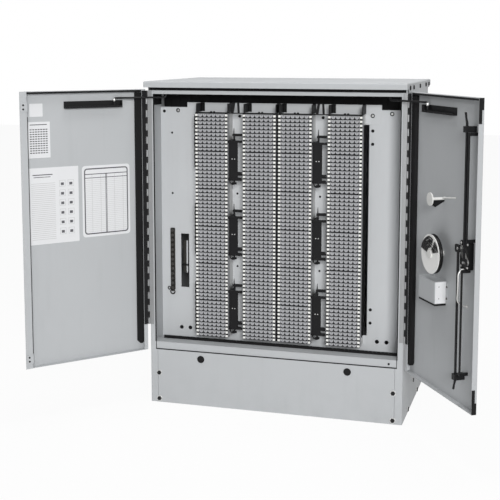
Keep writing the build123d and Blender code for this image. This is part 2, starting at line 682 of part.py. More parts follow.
# Doors: a folded pan each, and on the left one a lip that the right door closes over
door_height = DOOR_TOP - DOOR_BOTTOM
hinge_edge = [(HINGE_OUT + HINGE_LIP, RIM), (HINGE_OUT, RIM), (HINGE_OUT, SKIN_OUT)]
left_free_edge = [(LEFT_EDGE, SKIN_OUT), (LEFT_EDGE, LIP_OUT), (LEFT_EDGE + LIP, LIP_OUT)]
right_free_edge = [(RIGHT_EDGE, SKIN_OUT), (RIGHT_EDGE, RIM)]
for name, free_edge in (("left", left_free_edge), ("right", right_free_edge)):
    side, opened = DOORS[name]
    edge = free_edge[0][0]
    with BuildPart() as door:
        with BuildSketch(door_plan(side, opened, DOOR_BOTTOM, DOOR_TOP)):
            add(fold(hinge_edge + free_edge, SHEET))
        extrude(amount=door_height)
        corners = [door_point(side, opened, place, SKIN_OUT, DOOR_BOTTOM) for place in (HINGE_OUT, edge)]
        upright = door.edges().filter_by(Axis.Z)
        fillet([upright.sort_by_distance(corner)[0] for corner in corners], radius=BEND)
        for low in (DOOR_BOTTOM, DOOR_TOP - SHEET):
            with BuildSketch(door_plan(side, opened, low, low + SHEET)):
                span((HINGE_OUT + SHEET, edge - SHEET), (SKIN_IN, RIM))
            extrude(amount=SHEET)
        if name == "right":
            with BuildSketch(door_face(side, opened, SKIN_OUT)):
                with Locations((LATCH_ALONG, LATCH_HEIGHT)):
                    Circle(SPINDLE_HOLE / 2)
            extrude(amount=SHEET, mode=Mode.SUBTRACT)
    save(door, f"{name}_door")

    with BuildPart() as seal:
        with BuildSketch(door_plan(side, opened, SEAL_LOW, SEAL_HIGH)):
            span((SEAL_START, SEAL_START + SEAL_WIDTH), (SKIN_IN, SKIN_IN + SEAL_THICK))
        extrude(amount=SEAL_HIGH - SEAL_LOW)
        seal_corner = door_point(side, opened, SEAL_START + SEAL_WIDTH, SKIN_IN, SEAL_LOW)
        ends = seal.faces().sort_by(Axis.Z)[0].edges().sort_by_distance(seal_corner)
        chamfer(ends.filter_by(lambda e: e.length < SEAL_WIDTH)[0], length=SEAL_WIDTH / 2)
    save(seal, f"{name}_hinge_seal")

    trim_low = DOOR_TOP - SHEET - TRIM_TALL
    with BuildPart() as trim:
        with BuildSketch(door_plan(side, opened, trim_low, trim_low + TRIM_TALL)):
            span((SEAL_START, edge - SHEET), (RIM - TRIM_THICK, RIM))
        extrude(amount=TRIM_TALL)
    save(trim, f"{name}_top_trim")

with BuildPart() as corner_seals:
    seal_s = (RIGHT_EDGE, RIGHT_EDGE + CORNER_THICK)
    wide = (SKIN_OUT + BEND, RIM)
    narrow = (RIM - CORNER_TAIL_WIDTH, RIM)
    for inward, low, high in (
        (wide, DOOR_TOP - CORNER_TALL, DOOR_TOP),
        (narrow, DOOR_TOP - CORNER_TALL - CORNER_TAIL, DOOR_TOP - CORNER_TALL),
        (wide, DOOR_BOTTOM, DOOR_BOTTOM + CORNER_TALL),
        (narrow, DOOR_BOTTOM + CORNER_TALL, DOOR_BOTTOM + CORNER_TALL + CORNER_TAIL),
    ):
        with BuildSketch(door_plan(1, RIGHT_OPEN, low, high)):
            span(seal_s, inward)
        extrude(amount=high - low)
save(corner_seals, "corner_seals")

lip_in = LIP_OUT + SHEET
with BuildPart() as strike_clips:
    for low in (CLIP_LOW, CLIP_HIGH):
        clip_end = LEFT_EDGE + LIP - SHEET
        with BuildSketch(door_plan(-1, LEFT_OPEN, low, low + CLIP_TALL)):
            span((clip_end - CLIP_WIDTH, clip_end), (lip_in, lip_in + CLIP_SHEET))
        extrude(amount=CLIP_TALL)
        with BuildSketch(door_face(-1, LEFT_OPEN, lip_in)):
            for step in (-1, 1):
                screw_height = low + CLIP_TALL / 2 + step * CLIP_SCREW_PITCH / 2
                with Locations((LEFT_EDGE + LIP / 2, -screw_height)):
                    Circle(CLIP_SCREW / 2)
        extrude(amount=CLIP_SHEET, mode=Mode.SUBTRACT)
save(strike_clips, "strike_clips")

# Door stays: a trough on each door and a bent rod that turns in the header
for name, (side, opened) in DOORS.items():
    trough_high = STAY_LOW + STAY_TALL
    with BuildPart() as trough:
        stay_s = (STAY_START, STAY_START + STAY_LENGTH)
        with BuildSketch(door_plan(side, opened, STAY_LOW, trough_high)):
            span(stay_s, (SKIN_IN, SKIN_IN + STAY_SHEET))
            span((STAY_START, STAY_START + STAY_SHEET), (SKIN_IN, RIM))
        extrude(amount=STAY_TALL)
        with BuildSketch(door_plan(side, opened, STAY_LOW, STAY_LOW + STAY_SHEET)):
            span(stay_s, (SKIN_IN, RIM))
        extrude(amount=STAY_SHEET)
        with BuildSketch(door_plan(side, opened, STAY_LOW, STAY_LOW + STAY_LIP)):
            span(stay_s, (RIM - STAY_SHEET, RIM))
        extrude(amount=STAY_LIP)
    save(trough, f"{name}_stay_channel")

    pivot = door_point(side, 0, STAY_PIVOT_IN, STAY_PIVOT_BACK, STAY_HEIGHT)
    leg = door_point(side, opened, STAY_LEG_ALONG, STAY_LEG_INWARD, STAY_HEIGHT)
    with BuildPart() as stay_rod:
        with BuildLine():
            rod_line = FilletPolyline(
                (pivot[0], pivot[1], HEADER_BOTTOM + STAY_TAIL),
                pivot,
                leg,
                (leg[0], leg[1], STAY_LEG_FOOT),
                radius=STAY_BEND,
            )
        with BuildSketch(Plane(origin=rod_line @ 0, z_dir=rod_line % 0)):
            Circle(STAY_ROD / 2)
        sweep()
    save(stay_rod, f"{name}_stay_rod")

# Latch on the right door: a cam on the spindle drives one rod up and one rod down
RIGHT = (1, RIGHT_OPEN)
with BuildPart() as latch_case:
    with BuildSketch(door_face(*RIGHT, SKIN_IN)):
        with Locations((LATCH_ALONG, LATCH_HEIGHT)):
            RectangleRounded(LATCH_WIDTH, LATCH_TALL, LATCH_CORNER)
            Circle(SPINDLE / 2 + RUNNING, mode=Mode.SUBTRACT)
    extrude(amount=LATCH_FACE - SKIN_IN)
save(latch_case, "latch_case")

hex_face = SKIN_OUT - LATCH_FACE_GAP
with BuildPart() as latch_spindle:
    with BuildSketch(door_face(*RIGHT, hex_face)):
        with Locations((LATCH_ALONG, LATCH_HEIGHT)):
            RegularPolygon(HEX_ACROSS / 2, 6, major_radius=False)
    extrude(amount=-HEX_HEIGHT)
    with BuildSketch(door_face(*RIGHT, hex_face)):
        with Locations((LATCH_ALONG, LATCH_HEIGHT)):
            Circle(SPINDLE / 2)
    extrude(amount=CAM_BACK - hex_face)
    with BuildSketch(door_face(*RIGHT, CAM_BACK)):
        with Locations(Location((LATCH_ALONG, LATCH_HEIGHT), -45)):
            SlotCenterToCenter(2 * CAM_REACH, CAM_WIDTH)
    extrude(amount=CAM_THICK)
    with BuildSketch(door_face(*RIGHT, CAM_FRONT)):
        with Locations(
            (LATCH_ALONG + CAM_OFFSET, LATCH_HEIGHT - CAM_OFFSET),
            (LATCH_ALONG - CAM_OFFSET, LATCH_HEIGHT + CAM_OFFSET),
        ):
            Circle(CAM_PIN / 2)
    extrude(amount=ROD_FRONT + CAM_PIN_SHOW - CAM_FRONT)
save(latch_spindle, "latch_spindle")

eye_slot = CAM_REACH - CAM_OFFSET
for name, along, reach, tip in (
    ("upper", UPPER_ROD_ALONG, 1, ROD_TOP),
    ("lower", LOWER_ROD_ALONG, -1, ROD_BOTTOM),
):
    eye_z = LATCH_HEIGHT - reach * CAM_OFFSET
    eye_x = along + reach * eye_slot / 2
    hole_tall = CAM_PIN + 2 * ROD_EYE_CLEAR
    tip_base = tip - reach * ROD_TIP
    with BuildPart() as latch_rod:
        with BuildSketch(door_face(*RIGHT, ROD_BACK)):
            span((along - ROD_WIDTH / 2, along + ROD_WIDTH / 2), sorted((eye_z, tip_base)))
            with BuildLine():
                Polyline(
                    (along - ROD_WIDTH / 2, tip_base),
                    (along + ROD_WIDTH / 2, tip_base),
                    (along - ROD_WIDTH / 2, tip_base + reach * ROD_TIP / 2),
                    (along - ROD_WIDTH / 2 - ROD_HOOK + ROD_TIP_WIDTH, tip),
                    (along - ROD_WIDTH / 2 - ROD_HOOK, tip),
                    close=True,
                )
            make_face()
            with Locations((eye_x, eye_z)):
                eye_long = eye_slot + hole_tall + 2 * ROD_EYE_WALL
                RectangleRounded(eye_long, ROD_EYE_TALL, ROD_EYE_WALL)
                SlotCenterToCenter(eye_slot, hole_tall, mode=Mode.SUBTRACT)
        extrude(amount=ROD_THICK)
    save(latch_rod, f"latch_rod_{name}")

with BuildPart() as rod_guides:
    for along, low in ((LOWER_ROD_ALONG, ROD_GUIDE_LOW), (UPPER_ROD_ALONG, ROD_GUIDE_HIGH)):
        half_gap = ROD_WIDTH / 2 + ROD_GUIDE_CLEAR
        half_wide = half_gap + ROD_GUIDE_WALL
        with BuildSketch(door_plan(*RIGHT, low, low + ROD_GUIDE_TALL)):
            span((along - half_wide, along + half_wide), (SKIN_IN, ROD_FRONT + ROD_GUIDE_CLEAR + ROD_GUIDE_WALL))
            with Locations((along, ROD_LIFT)):
                Rectangle(2 * half_gap, ROD_THICK + 2 * ROD_GUIDE_CLEAR, mode=Mode.SUBTRACT)
        extrude(amount=ROD_GUIDE_TALL)
save(rod_guides, "rod_guides")

guards = (
    (UPPER_ROD_ALONG + UPPER_GUARD_OFFSET, LATCH_HEIGHT + LATCH_TALL / 2, ROD_GUIDE_HIGH),
    (LOWER_ROD_ALONG + LOWER_GUARD_OFFSET, ROD_GUIDE_LOW + ROD_GUIDE_TALL, LATCH_HEIGHT - LATCH_TALL / 2),
)
with BuildPart() as latch_guard:
    for start, low, high in guards:
        guard_s = (start, start + GUARD_WIDTH)
        with BuildSketch(door_plan(*RIGHT, low, high)):
            span(guard_s, (ROD_BACK, ROD_FRONT))
        extrude(amount=high - low)
        for foot in (low, high - GUARD_FOOT):
            with BuildSketch(door_plan(*RIGHT, foot, foot + GUARD_FOOT)):
                span(guard_s, (SKIN_IN, ROD_FRONT))
            extrude(amount=GUARD_FOOT)
save(latch_guard, "latch_guard")

# Pegs, reel and storage box on the right door
reel_back = SKIN_IN + REEL_STANDOFF
reel_front = reel_back + REEL_WIDTH
with BuildPart() as pegs:
    for height, length, disc in (
        (UPPER_PEG_HEIGHT, UPPER_PEG_LENGTH, UPPER_DISC),
        (REEL_HEIGHT, reel_front + REEL_PLAY - SKIN_IN, REEL_DISC),
    ):
        with BuildSketch(door_face(*RIGHT, SKIN_IN)):
            with Locations((PEG_ALONG, height)):
                Circle(PEG / 2)
        extrude(amount=length)
        with BuildSketch(door_face(*RIGHT, SKIN_IN + length)):
            with Locations((PEG_ALONG, height)):
                Circle(disc / 2)
        extrude(amount=DISC_THICK)
    with BuildSketch(door_face(*RIGHT, SKIN_IN)):
        with Locations((PEG_ALONG, REEL_HEIGHT)):
            Circle(PEG)
    extrude(amount=REEL_STANDOFF - REEL_PLAY)
save(pegs, "reel_pegs")

with BuildPart() as reel:
    for start, diameter, length in (
        (reel_back, REEL_FLANGE, REEL_FLANGE_THICK),
        (reel_back, REEL_DRUM, REEL_WIDTH),
        (reel_front - REEL_FLANGE_THICK, REEL_FLANGE, REEL_FLANGE_THICK),
    ):
        with BuildSketch(door_face(*RIGHT, start)):
            with Locations((PEG_ALONG, REEL_HEIGHT)):
                Circle(diameter / 2)
        extrude(amount=length)
    with BuildSketch(door_face(*RIGHT, reel_back)):
        with Locations((PEG_ALONG, REEL_HEIGHT)):
            Circle(PEG / 2 + RUNNING)
    extrude(amount=REEL_WIDTH, mode=Mode.SUBTRACT)
save(reel, "wire_reel")

with BuildPart() as winding:
    winding_back = reel_back + REEL_FLANGE_THICK
    with BuildSketch(door_face(*RIGHT, winding_back)):
        with Locations((PEG_ALONG, REEL_HEIGHT)):
            Circle(WINDING / 2)
            Circle(REEL_DRUM / 2, mode=Mode.SUBTRACT)
    extrude(amount=REEL_WIDTH - 2 * REEL_FLANGE_THICK)
save(winding, "reel_winding")

with BuildPart() as door_box:
    box_s = (RIGHT_EDGE - BOX_EDGE - BOX_LENGTH, RIGHT_EDGE - BOX_EDGE)
    with BuildSketch(door_plan(*RIGHT, BOX_LOW, BOX_LOW + BOX_TALL)):
        span(box_s, (SKIN_IN, SKIN_IN + BOX_DEEP))
    extrude(amount=BOX_TALL)
    box_foot = door_point(*RIGHT, sum(box_s) / 2, SKIN_IN, BOX_LOW + BOX_TALL / 2)
    offset(amount=-SHEET, openings=door_box.faces().sort_by_distance(box_foot)[0])
save(door_box, "door_box")
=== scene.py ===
"""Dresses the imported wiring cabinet: finishes for its solids, terminal detail, plates, small fasteners."""
import math

import bmesh
import bpy
from mathutils import Matrix, Vector


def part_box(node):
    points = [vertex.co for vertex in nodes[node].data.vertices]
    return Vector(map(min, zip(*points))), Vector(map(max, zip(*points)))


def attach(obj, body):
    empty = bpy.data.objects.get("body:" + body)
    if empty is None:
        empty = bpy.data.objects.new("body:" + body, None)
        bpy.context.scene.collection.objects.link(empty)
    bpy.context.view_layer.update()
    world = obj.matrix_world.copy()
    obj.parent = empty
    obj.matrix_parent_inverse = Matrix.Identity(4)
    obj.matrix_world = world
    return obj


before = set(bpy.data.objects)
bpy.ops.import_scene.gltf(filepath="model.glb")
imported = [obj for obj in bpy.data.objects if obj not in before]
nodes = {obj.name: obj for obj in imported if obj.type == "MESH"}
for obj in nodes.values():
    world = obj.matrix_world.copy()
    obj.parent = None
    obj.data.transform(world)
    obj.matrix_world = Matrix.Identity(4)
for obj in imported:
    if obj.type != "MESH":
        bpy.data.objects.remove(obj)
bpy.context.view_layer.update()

MM = 0.001
SHARP_ANGLE = 35

# Door frames: hinge axes, how far each door stands open, and the planes of a door's pan (millimetres, degrees)
HINGE_X = 505.0
HINGE_Y = -291.8
LEFT_OPEN = 131.0
RIGHT_OPEN = 123.0
SKIN = -19.8
CABINET_LEAF_FACE = 0.3
DOOR_LEAF_FACE = -0.3

# Camera fitted to the photograph: place and lens in millimetres, turns in degrees
CAMERA_PLACE = (1052.8, -4154.1, 1386.3)
CAMERA_YAW = 16.478
CAMERA_PITCH = 7.073
CAMERA_LENS = 77.286
CAMERA_SHIFT = (0.0, -0.132)
SENSOR = 36.0

# Sockets of a colour mix, which share their names with others
MIX_FACTOR, MIX_FIRST, MIX_SECOND = 0, 6, 7
MIX_RESULT = 2

# The part of a noise's range that is spread over a shader value
NOISE_LOW, NOISE_HIGH = 0.3, 0.7


class Field:
    """A node's output that takes part in plain arithmetic."""

    def __init__(self, graph, socket):
        self.graph = graph
        self.socket = socket

    def math(self, operation, first, second=0.0):
        return self.graph.node("ShaderNodeMath", {"operation": operation}, {0: first, 1: second})

    def __add__(self, other):
        return self.math("ADD", self, other)

    def __radd__(self, other):
        return self.math("ADD", other, self)

    def __sub__(self, other):
        return self.math("SUBTRACT", self, other)

    def __rsub__(self, other):
        return self.math("SUBTRACT", other, self)

    def __mul__(self, other):
        return self.math("MULTIPLY", self, other)

    def __rmul__(self, other):
        return self.math("MULTIPLY", other, self)

    def __gt__(self, other):
        return self.math("GREATER_THAN", self, other)

    def __lt__(self, other):
        return self.math("LESS_THAN", self, other)

    def clamped(self):
        return self.math("MAXIMUM", self.math("MINIMUM", self, 1.0), 0.0)


class Graph:
    """The nodes of one material or of the backdrop."""

    def __init__(self, tree):
        self.tree = tree

    def node(self, kind, settings=None, sockets=None, output=0):
        made = self.tree.nodes.new(kind)
        for key, value in (settings or {}).items():
            setattr(made, key, value)
        for key, value in (sockets or {}).items():
            self.plug(made.inputs[key], value)
        return Field(self, made.outputs[output])

    def plug(self, socket, value):
        if isinstance(value, Field):
            self.tree.links.new(value.socket, socket)
        else:
            socket.default_value = value

    def seen(self):
        """1 where the backdrop shows itself to the camera, in a gloss or through glass."""
        kinds = ("Is Camera Ray", "Is Glossy Ray", "Is Transmission Ray")
        camera_ray, glossy_ray, through_ray = [self.node("ShaderNodeLightPath", output=kind)
                                               for kind in kinds]
        return (camera_ray + glossy_ray + through_ray).clamped()


class Finish(Graph):
    """One procedural material and the nodes that feed its shader."""

    def __init__(self, name, **sockets):
        self.material = bpy.data.materials.new(name)
        self.material.use_nodes = True
        super().__init__(self.material.node_tree)
        self.shader = self.tree.nodes["Principled BSDF"]
        for socket, value in sockets.items():
            self.feed(socket.replace("_", " ").title().replace("Ior", "IOR"), value)

    def feed(self, socket, value):
        self.plug(self.shader.inputs[socket], value)

    def noise(self, scale, detail=2.0, stretch=(1.0, 1.0, 1.0)):
        """Noise in the object's own metres, from 0 to 1."""
        place = self.node("ShaderNodeTexCoord", output="Object")
        place = self.node("ShaderNodeMapping", None, {"Vector": place, "Scale": stretch})
        sockets = {"Vector": place, "Scale": scale, "Detail": detail}
        return self.node("ShaderNodeTexNoise", None, sockets)

    def height(self):
        """The height in the object's own frame, in metres."""
        place = self.node("ShaderNodeTexCoord", output="Object")
        return self.node("ShaderNodeSeparateXYZ", None, {0: place}, output=2)

    def mix(self, factor, first, second):
        sockets = {MIX_FACTOR: factor, MIX_FIRST: first, MIX_SECOND: second}
        return self.node("ShaderNodeMix", {"data_type": "RGBA"}, sockets, output=MIX_RESULT)

    def range(self, value, low, high, to_low=0.0, to_high=1.0):
        sockets = {"Value": value, 1: low, 2: high, 3: to_low, 4: to_high}
        return self.node("ShaderNodeMapRange", None, sockets)

    def matt(self, pattern, low, high):
        """Roughness that follows a pattern."""
        self.feed("Roughness", self.range(pattern, NOISE_LOW, NOISE_HIGH, low, high))

    def edge_normal(self, radius):
        return self.node("ShaderNodeBevel", {"samples": 4}, {"Radius": radius})

    def relief(self, height, strength, depth, radius=None):
        """Fine relief on top of softly rounded edges."""
        sockets = {"Strength": strength, "Distance": depth, "Height": height}
        if radius:
            sockets["Normal"] = self.edge_normal(radius)
        self.feed("Normal", self.node("ShaderNodeBump", None, sockets))

    def worn_edges(self, radius):
        """A mask that is 1 along sharp edges."""
        bent = self.edge_normal(radius)
        flat = self.node("ShaderNodeNewGeometry", output=1)
        settings = {"operation": "DOT_PRODUCT"}
        likeness = self.node("ShaderNodeVectorMath", settings, {0: bent, 1: flat}, output=1)
        return self.range(likeness, 0.98, 0.80)


def shade(colour, factor):
    """A colour made lighter or darker."""
    return tuple(min(1.0, channel * factor) for channel in colour[:3]) + (1.0,)


def sheet_paint(name, colour, roughness=0.5, grime=0.10):
    """Powder coat on folded sheet: orange peel, faint clouds, rubbed edges, a little dirt low down."""
    finish = Finish(name, specular_ior_level=0.14, coat_roughness=0.4)
    clouds = finish.noise(2.2, 4.0)
    streaks = finish.noise(5.0, 3.0, (6.0, 6.0, 0.7))
    tone = finish.mix(clouds, shade(colour, 0.95), shade(colour, 1.04))
    tone = finish.mix(finish.range(streaks, 0.55, 0.80) * 0.35, tone, shade(colour, 0.90))
    soil = finish.range(finish.height(), 0.20, 0.0) * finish.range(finish.noise(14.0, 5.0), 0.40, 0.75)
    tone = finish.mix(soil * grime, tone, shade(colour, 0.45))
    tone = finish.mix(finish.worn_edges(0.0016) * 0.45, tone, shade(colour, 1.18))
    finish.feed("Base Color", tone)
    finish.matt(finish.noise(9.0, 3.0), roughness - 0.05, roughness + 0.09)
    finish.feed("Coat Weight", finish.range(clouds, NOISE_LOW, NOISE_HIGH, 0.0, 0.04))
    finish.relief(finish.noise(520.0, 1.0), 0.10, 0.0006, 0.0011)
    return finish.material


def dark_enamel(name, colour, roughness=0.42):
    """Black enamel on small steel fittings, with rubbed bright edges and dust."""
    finish = Finish(name, specular_ior_level=0.2)
    tone = finish.mix(finish.noise(35.0, 4.0), shade(colour, 0.6), shade(colour, 1.2))
    tone = finish.mix(finish.worn_edges(0.0009) * 0.35, tone, (0.10, 0.10, 0.10, 1.0))
    finish.feed("Base Color", tone)
    finish.matt(finish.noise(60.0, 3.0), roughness - 0.08, roughness + 0.10)
    finish.relief(finish.noise(700.0, 2.0), 0.12, 0.0005, 0.0006)
    return finish.material


def zinc(name, colour, roughness=0.36):
    """Zinc plated steel with a drawn grain along its height and a patchy lustre."""
    finish = Finish(name, metallic=0.85)
    grain = finish.noise(90.0, 3.0, (9.0, 9.0, 0.25))
    patches = finish.noise(16.0, 4.0)
    tone = finish.mix(grain, shade(colour, 0.82), shade(colour, 1.12))
    tone = finish.mix(finish.range(patches, 0.5, 0.8) * 0.4, tone, shade(colour, 0.72))
    finish.feed("Base Color", tone)
    finish.matt(patches, roughness - 0.06, roughness + 0.12)
    finish.relief(grain, 0.12, 0.0004, 0.0005)
    return finish.material


def moulded(name, colour, roughness=0.5, spread=0.08, gloss=0.42):
    """Moulded plastic with a spark-eroded grain and slight flow marks."""
    finish = Finish(name, specular_ior_level=gloss)
    flow = finish.noise(30.0, 3.0)
    tone = finish.mix(flow, shade(colour, 1.0 - spread), shade(colour, 1.0 + spread))
    tone = finish.mix(finish.worn_edges(0.0007) * 0.3, tone, shade(colour, 1.3))
    finish.feed("Base Color", tone)
    finish.matt(finish.noise(80.0, 2.0), roughness - 0.06, roughness + 0.08)
    finish.relief(finish.noise(900.0, 1.0), 0.10, 0.0004, 0.0005)
    return finish.material


def reel_white(name, colour, dark, inward, split):
    """White moulding whose rear flange, behind the wire, is black."""
    finish = Finish(name, specular_ior_level=0.45)
    flow = finish.noise(26.0, 3.0)
    tone = finish.mix(flow, shade(colour, 0.95), shade(colour, 1.04))
    place = finish.node("ShaderNodeTexCoord", output="Object")
    settings = {"operation": "DOT_PRODUCT"}
    depth = finish.node("ShaderNodeVectorMath", settings, {0: place, 1: inward}, output=1)
    finish.feed("Base Color", finish.mix(depth < split, tone, dark))
    finish.matt(finish.noise(70.0, 2.0), 0.28, 0.40)
    finish.relief(finish.noise(900.0, 1.0), 0.08, 0.0004, 0.0005)
    return finish.material


def seal_rubber(name, colour):
    """Extruded rubber: matt, with fine lines along its length and a grey bloom."""
    finish = Finish(name, specular_ior_level=0.16)
    lines = finish.noise(60.0, 2.0, (12.0, 12.0, 0.15))
    bloom = finish.noise(11.0, 4.0)
    tone = finish.mix(finish.range(bloom, 0.45, 0.8) * 0.6, shade(colour, 0.9), shade(colour, 2.0))
    finish.feed("Base Color", tone)
    finish.matt(bloom, 0.62, 0.78)
    finish.relief(lines, 0.25, 0.0008, 0.0012)
    return finish.material


def plate_card(name, colour):
    """Coated card of a blank plate: faint fibres and a handled tone."""
    finish = Finish(name, specular_ior_level=0.4)
    tone = finish.mix(finish.noise(7.0, 4.0), shade(colour, 0.96), shade(colour, 1.03))
    finish.feed("Base Color", tone)
    finish.matt(finish.noise(40.0, 3.0), 0.35, 0.5)
    finish.relief(finish.noise(1400.0, 2.0), 0.06, 0.0003)
    return finish.material


PAINT_GREY = (0.462, 0.476, 0.488, 1.0)
PANEL_GREY = (0.562, 0.577, 0.590, 1.0)
BLACK = (0.0105, 0.0105, 0.0115, 1.0)

paint = sheet_paint("shell_paint", PAINT_GREY)
panel_paint = sheet_paint("panel_paint", PANEL_GREY, 0.46, 0.0)
enamel = dark_enamel("black_enamel", BLACK)
zinc_steel = zinc("zinc_steel", (0.62, 0.62, 0.61, 1.0))
hinge_steel = zinc("hinge_steel", (0.30, 0.305, 0.31, 1.0), 0.42)
ground_metal = zinc("ground_bar_metal", (0.045, 0.043, 0.040, 1.0), 0.5)
screw_metal = zinc("screw_metal", (0.13, 0.127, 0.12, 1.0), 0.32)
block_plastic = moulded("terminal_plastic", (0.355, 0.36, 0.375, 1.0), 0.48)
tooth_plastic = moulded("tooth_plastic", (0.80, 0.80, 0.77, 1.0), 0.42, 0.04)
black_plastic = moulded("black_plastic", shade(BLACK, 0.6), 0.46, 0.25, 0.16)
rubber = seal_rubber("seal_rubber", (0.0075, 0.0075, 0.008, 1.0))
peg_plastic = moulded("peg_plastic", (0.72, 0.72, 0.70, 1.0), 0.38, 0.05)
wire_sleeve = moulded("wire_sleeve", (0.010, 0.010, 0.010, 1.0), 0.32, 0.2, 0.3)
card = plate_card("plate_card", (0.715, 0.722, 0.735, 1.0))
ink = plate_card("plate_ink", (0.10, 0.10, 0.11, 1.0))
faint_ink = plate_card("faint_ink", (0.50, 0.50, 0.50, 1.0))

NODE_FINISHES = {
    panel_paint: ("equipment_panel",),
    enamel: ("left_stay_channel", "right_stay_channel", "left_stay_rod", "right_stay_rod", "rod_guides",
             "latch_guard", "latch_rod_upper", "latch_rod_lower", "base_bolts", "hinge_leaf_door_left",
             "hinge_leaf_door_right"),
    hinge_steel: ("hinge_leaf_cabinet_left", "hinge_leaf_cabinet_right", "hinge_pin_left",
                  "hinge_pin_right"),
    zinc_steel: ("latch_spindle", "column_channel_1", "column_channel_2", "column_channel_3",
                 "column_channel_4"),
    ground_metal: ("ground_bar",),
    screw_metal: ("ground_screws",),
    block_plastic: ("terminal_blocks_1", "terminal_blocks_2", "terminal_blocks_3", "terminal_blocks_4"),
    black_plastic: ("knockout_plugs", "cable_fingers", "wire_guides", "latch_case"),
    rubber: ("left_hinge_seal", "right_hinge_seal", "left_top_trim", "right_top_trim", "corner_seals"),
    peg_plastic: ("reel_pegs",),
    wire_sleeve: ("reel_winding",),
}
for node in nodes.values():
    node.data.materials.clear()
    node.data.materials.append(paint)
for finish, names in NODE_FINISHES.items():
    for name in names:
        nodes[name].data.materials[0] = finish


class Place:
    """A frame for small pieces: maps its own millimetres to the frame's metres."""

    def __init__(self, origin, x_axis, y_axis, z_axis):
        columns = [Vector(axis) for axis in (x_axis, y_axis, z_axis)]
        self.matrix = Matrix([[column[row] for column in columns] for row in range(3)])
        self.origin = Vector(origin)

    def point(self, local):
        return (self.origin + self.matrix @ Vector(local)) * MM


def door_place(side, opened):
    """x along a door from its hinge axis, y from its skin to its inside, z up."""
    turn = math.radians(opened)
    along = (-side * math.cos(turn), -math.sin(turn), 0)
    inward = (-side * math.sin(turn), math.cos(turn), 0)
    return Place((side * HINGE_X, HINGE_Y, 0), along, inward, (0, 0, 1))


CABINET = Place((0, 0, 0), (1, 0, 0), (0, 1, 0), (0, 0, 1))
LEFT_DOOR = door_place(-1, LEFT_OPEN)
RIGHT_DOOR = door_place(1, RIGHT_OPEN)
# The right door once more with x inward and y along, for outlines that are drawn along the door
RIGHT_DOOR_ACROSS = Place(RIGHT_DOOR.origin, RIGHT_DOOR.matrix.col[1], RIGHT_DOOR.matrix.col[0], (0, 0, 1))
DOORS = (("left", LEFT_DOOR), ("right", RIGHT_DOOR))
LEFT_JAMB = door_place(-1, 0)
RIGHT_JAMB = door_place(1, 0)

# The reel stands off the right door's skin; its rear flange is black
REEL_BACK = SKIN + 34.0
REEL_FRONT = SKIN + 46.0
reel_inward = RIGHT_DOOR.matrix.col[1]
reel_split = reel_inward.dot(RIGHT_DOOR.point((0, (REEL_BACK + REEL_FRONT) / 2, 0)))
reel_plastic = reel_white("reel_plastic", (0.90, 0.90, 0.88, 1.0), BLACK, reel_inward, reel_split)
nodes["wire_reel"].data.materials[0] = reel_plastic


def linked(name, data):
    """A new object in the scene."""
    made = bpy.data.objects.new(name, data)
    bpy.context.collection.objects.link(made)
    return made


def wheel(axis, side, steps):
    """Evenly spaced spokes about an axis, the first one along side."""
    other = axis.cross(side)
    turns = [math.tau * step / steps for step in range(steps)]
    return [side * math.cos(turn) + other * math.sin(turn) for turn in turns]


def tube_faces(rings, sides):
    """Two end faces, and the side faces between one ring of points and the next."""
    faces = [tuple(range(sides)), tuple(range((rings - 1) * sides, rings * sides))]
    for ring in range(rings - 1):
        low, high = ring * sides, (ring + 1) * sides
        for step in range(sides):
            after = (step + 1) % sides
            faces.append((low + step, low + after, high + after, high + step))
    return faces


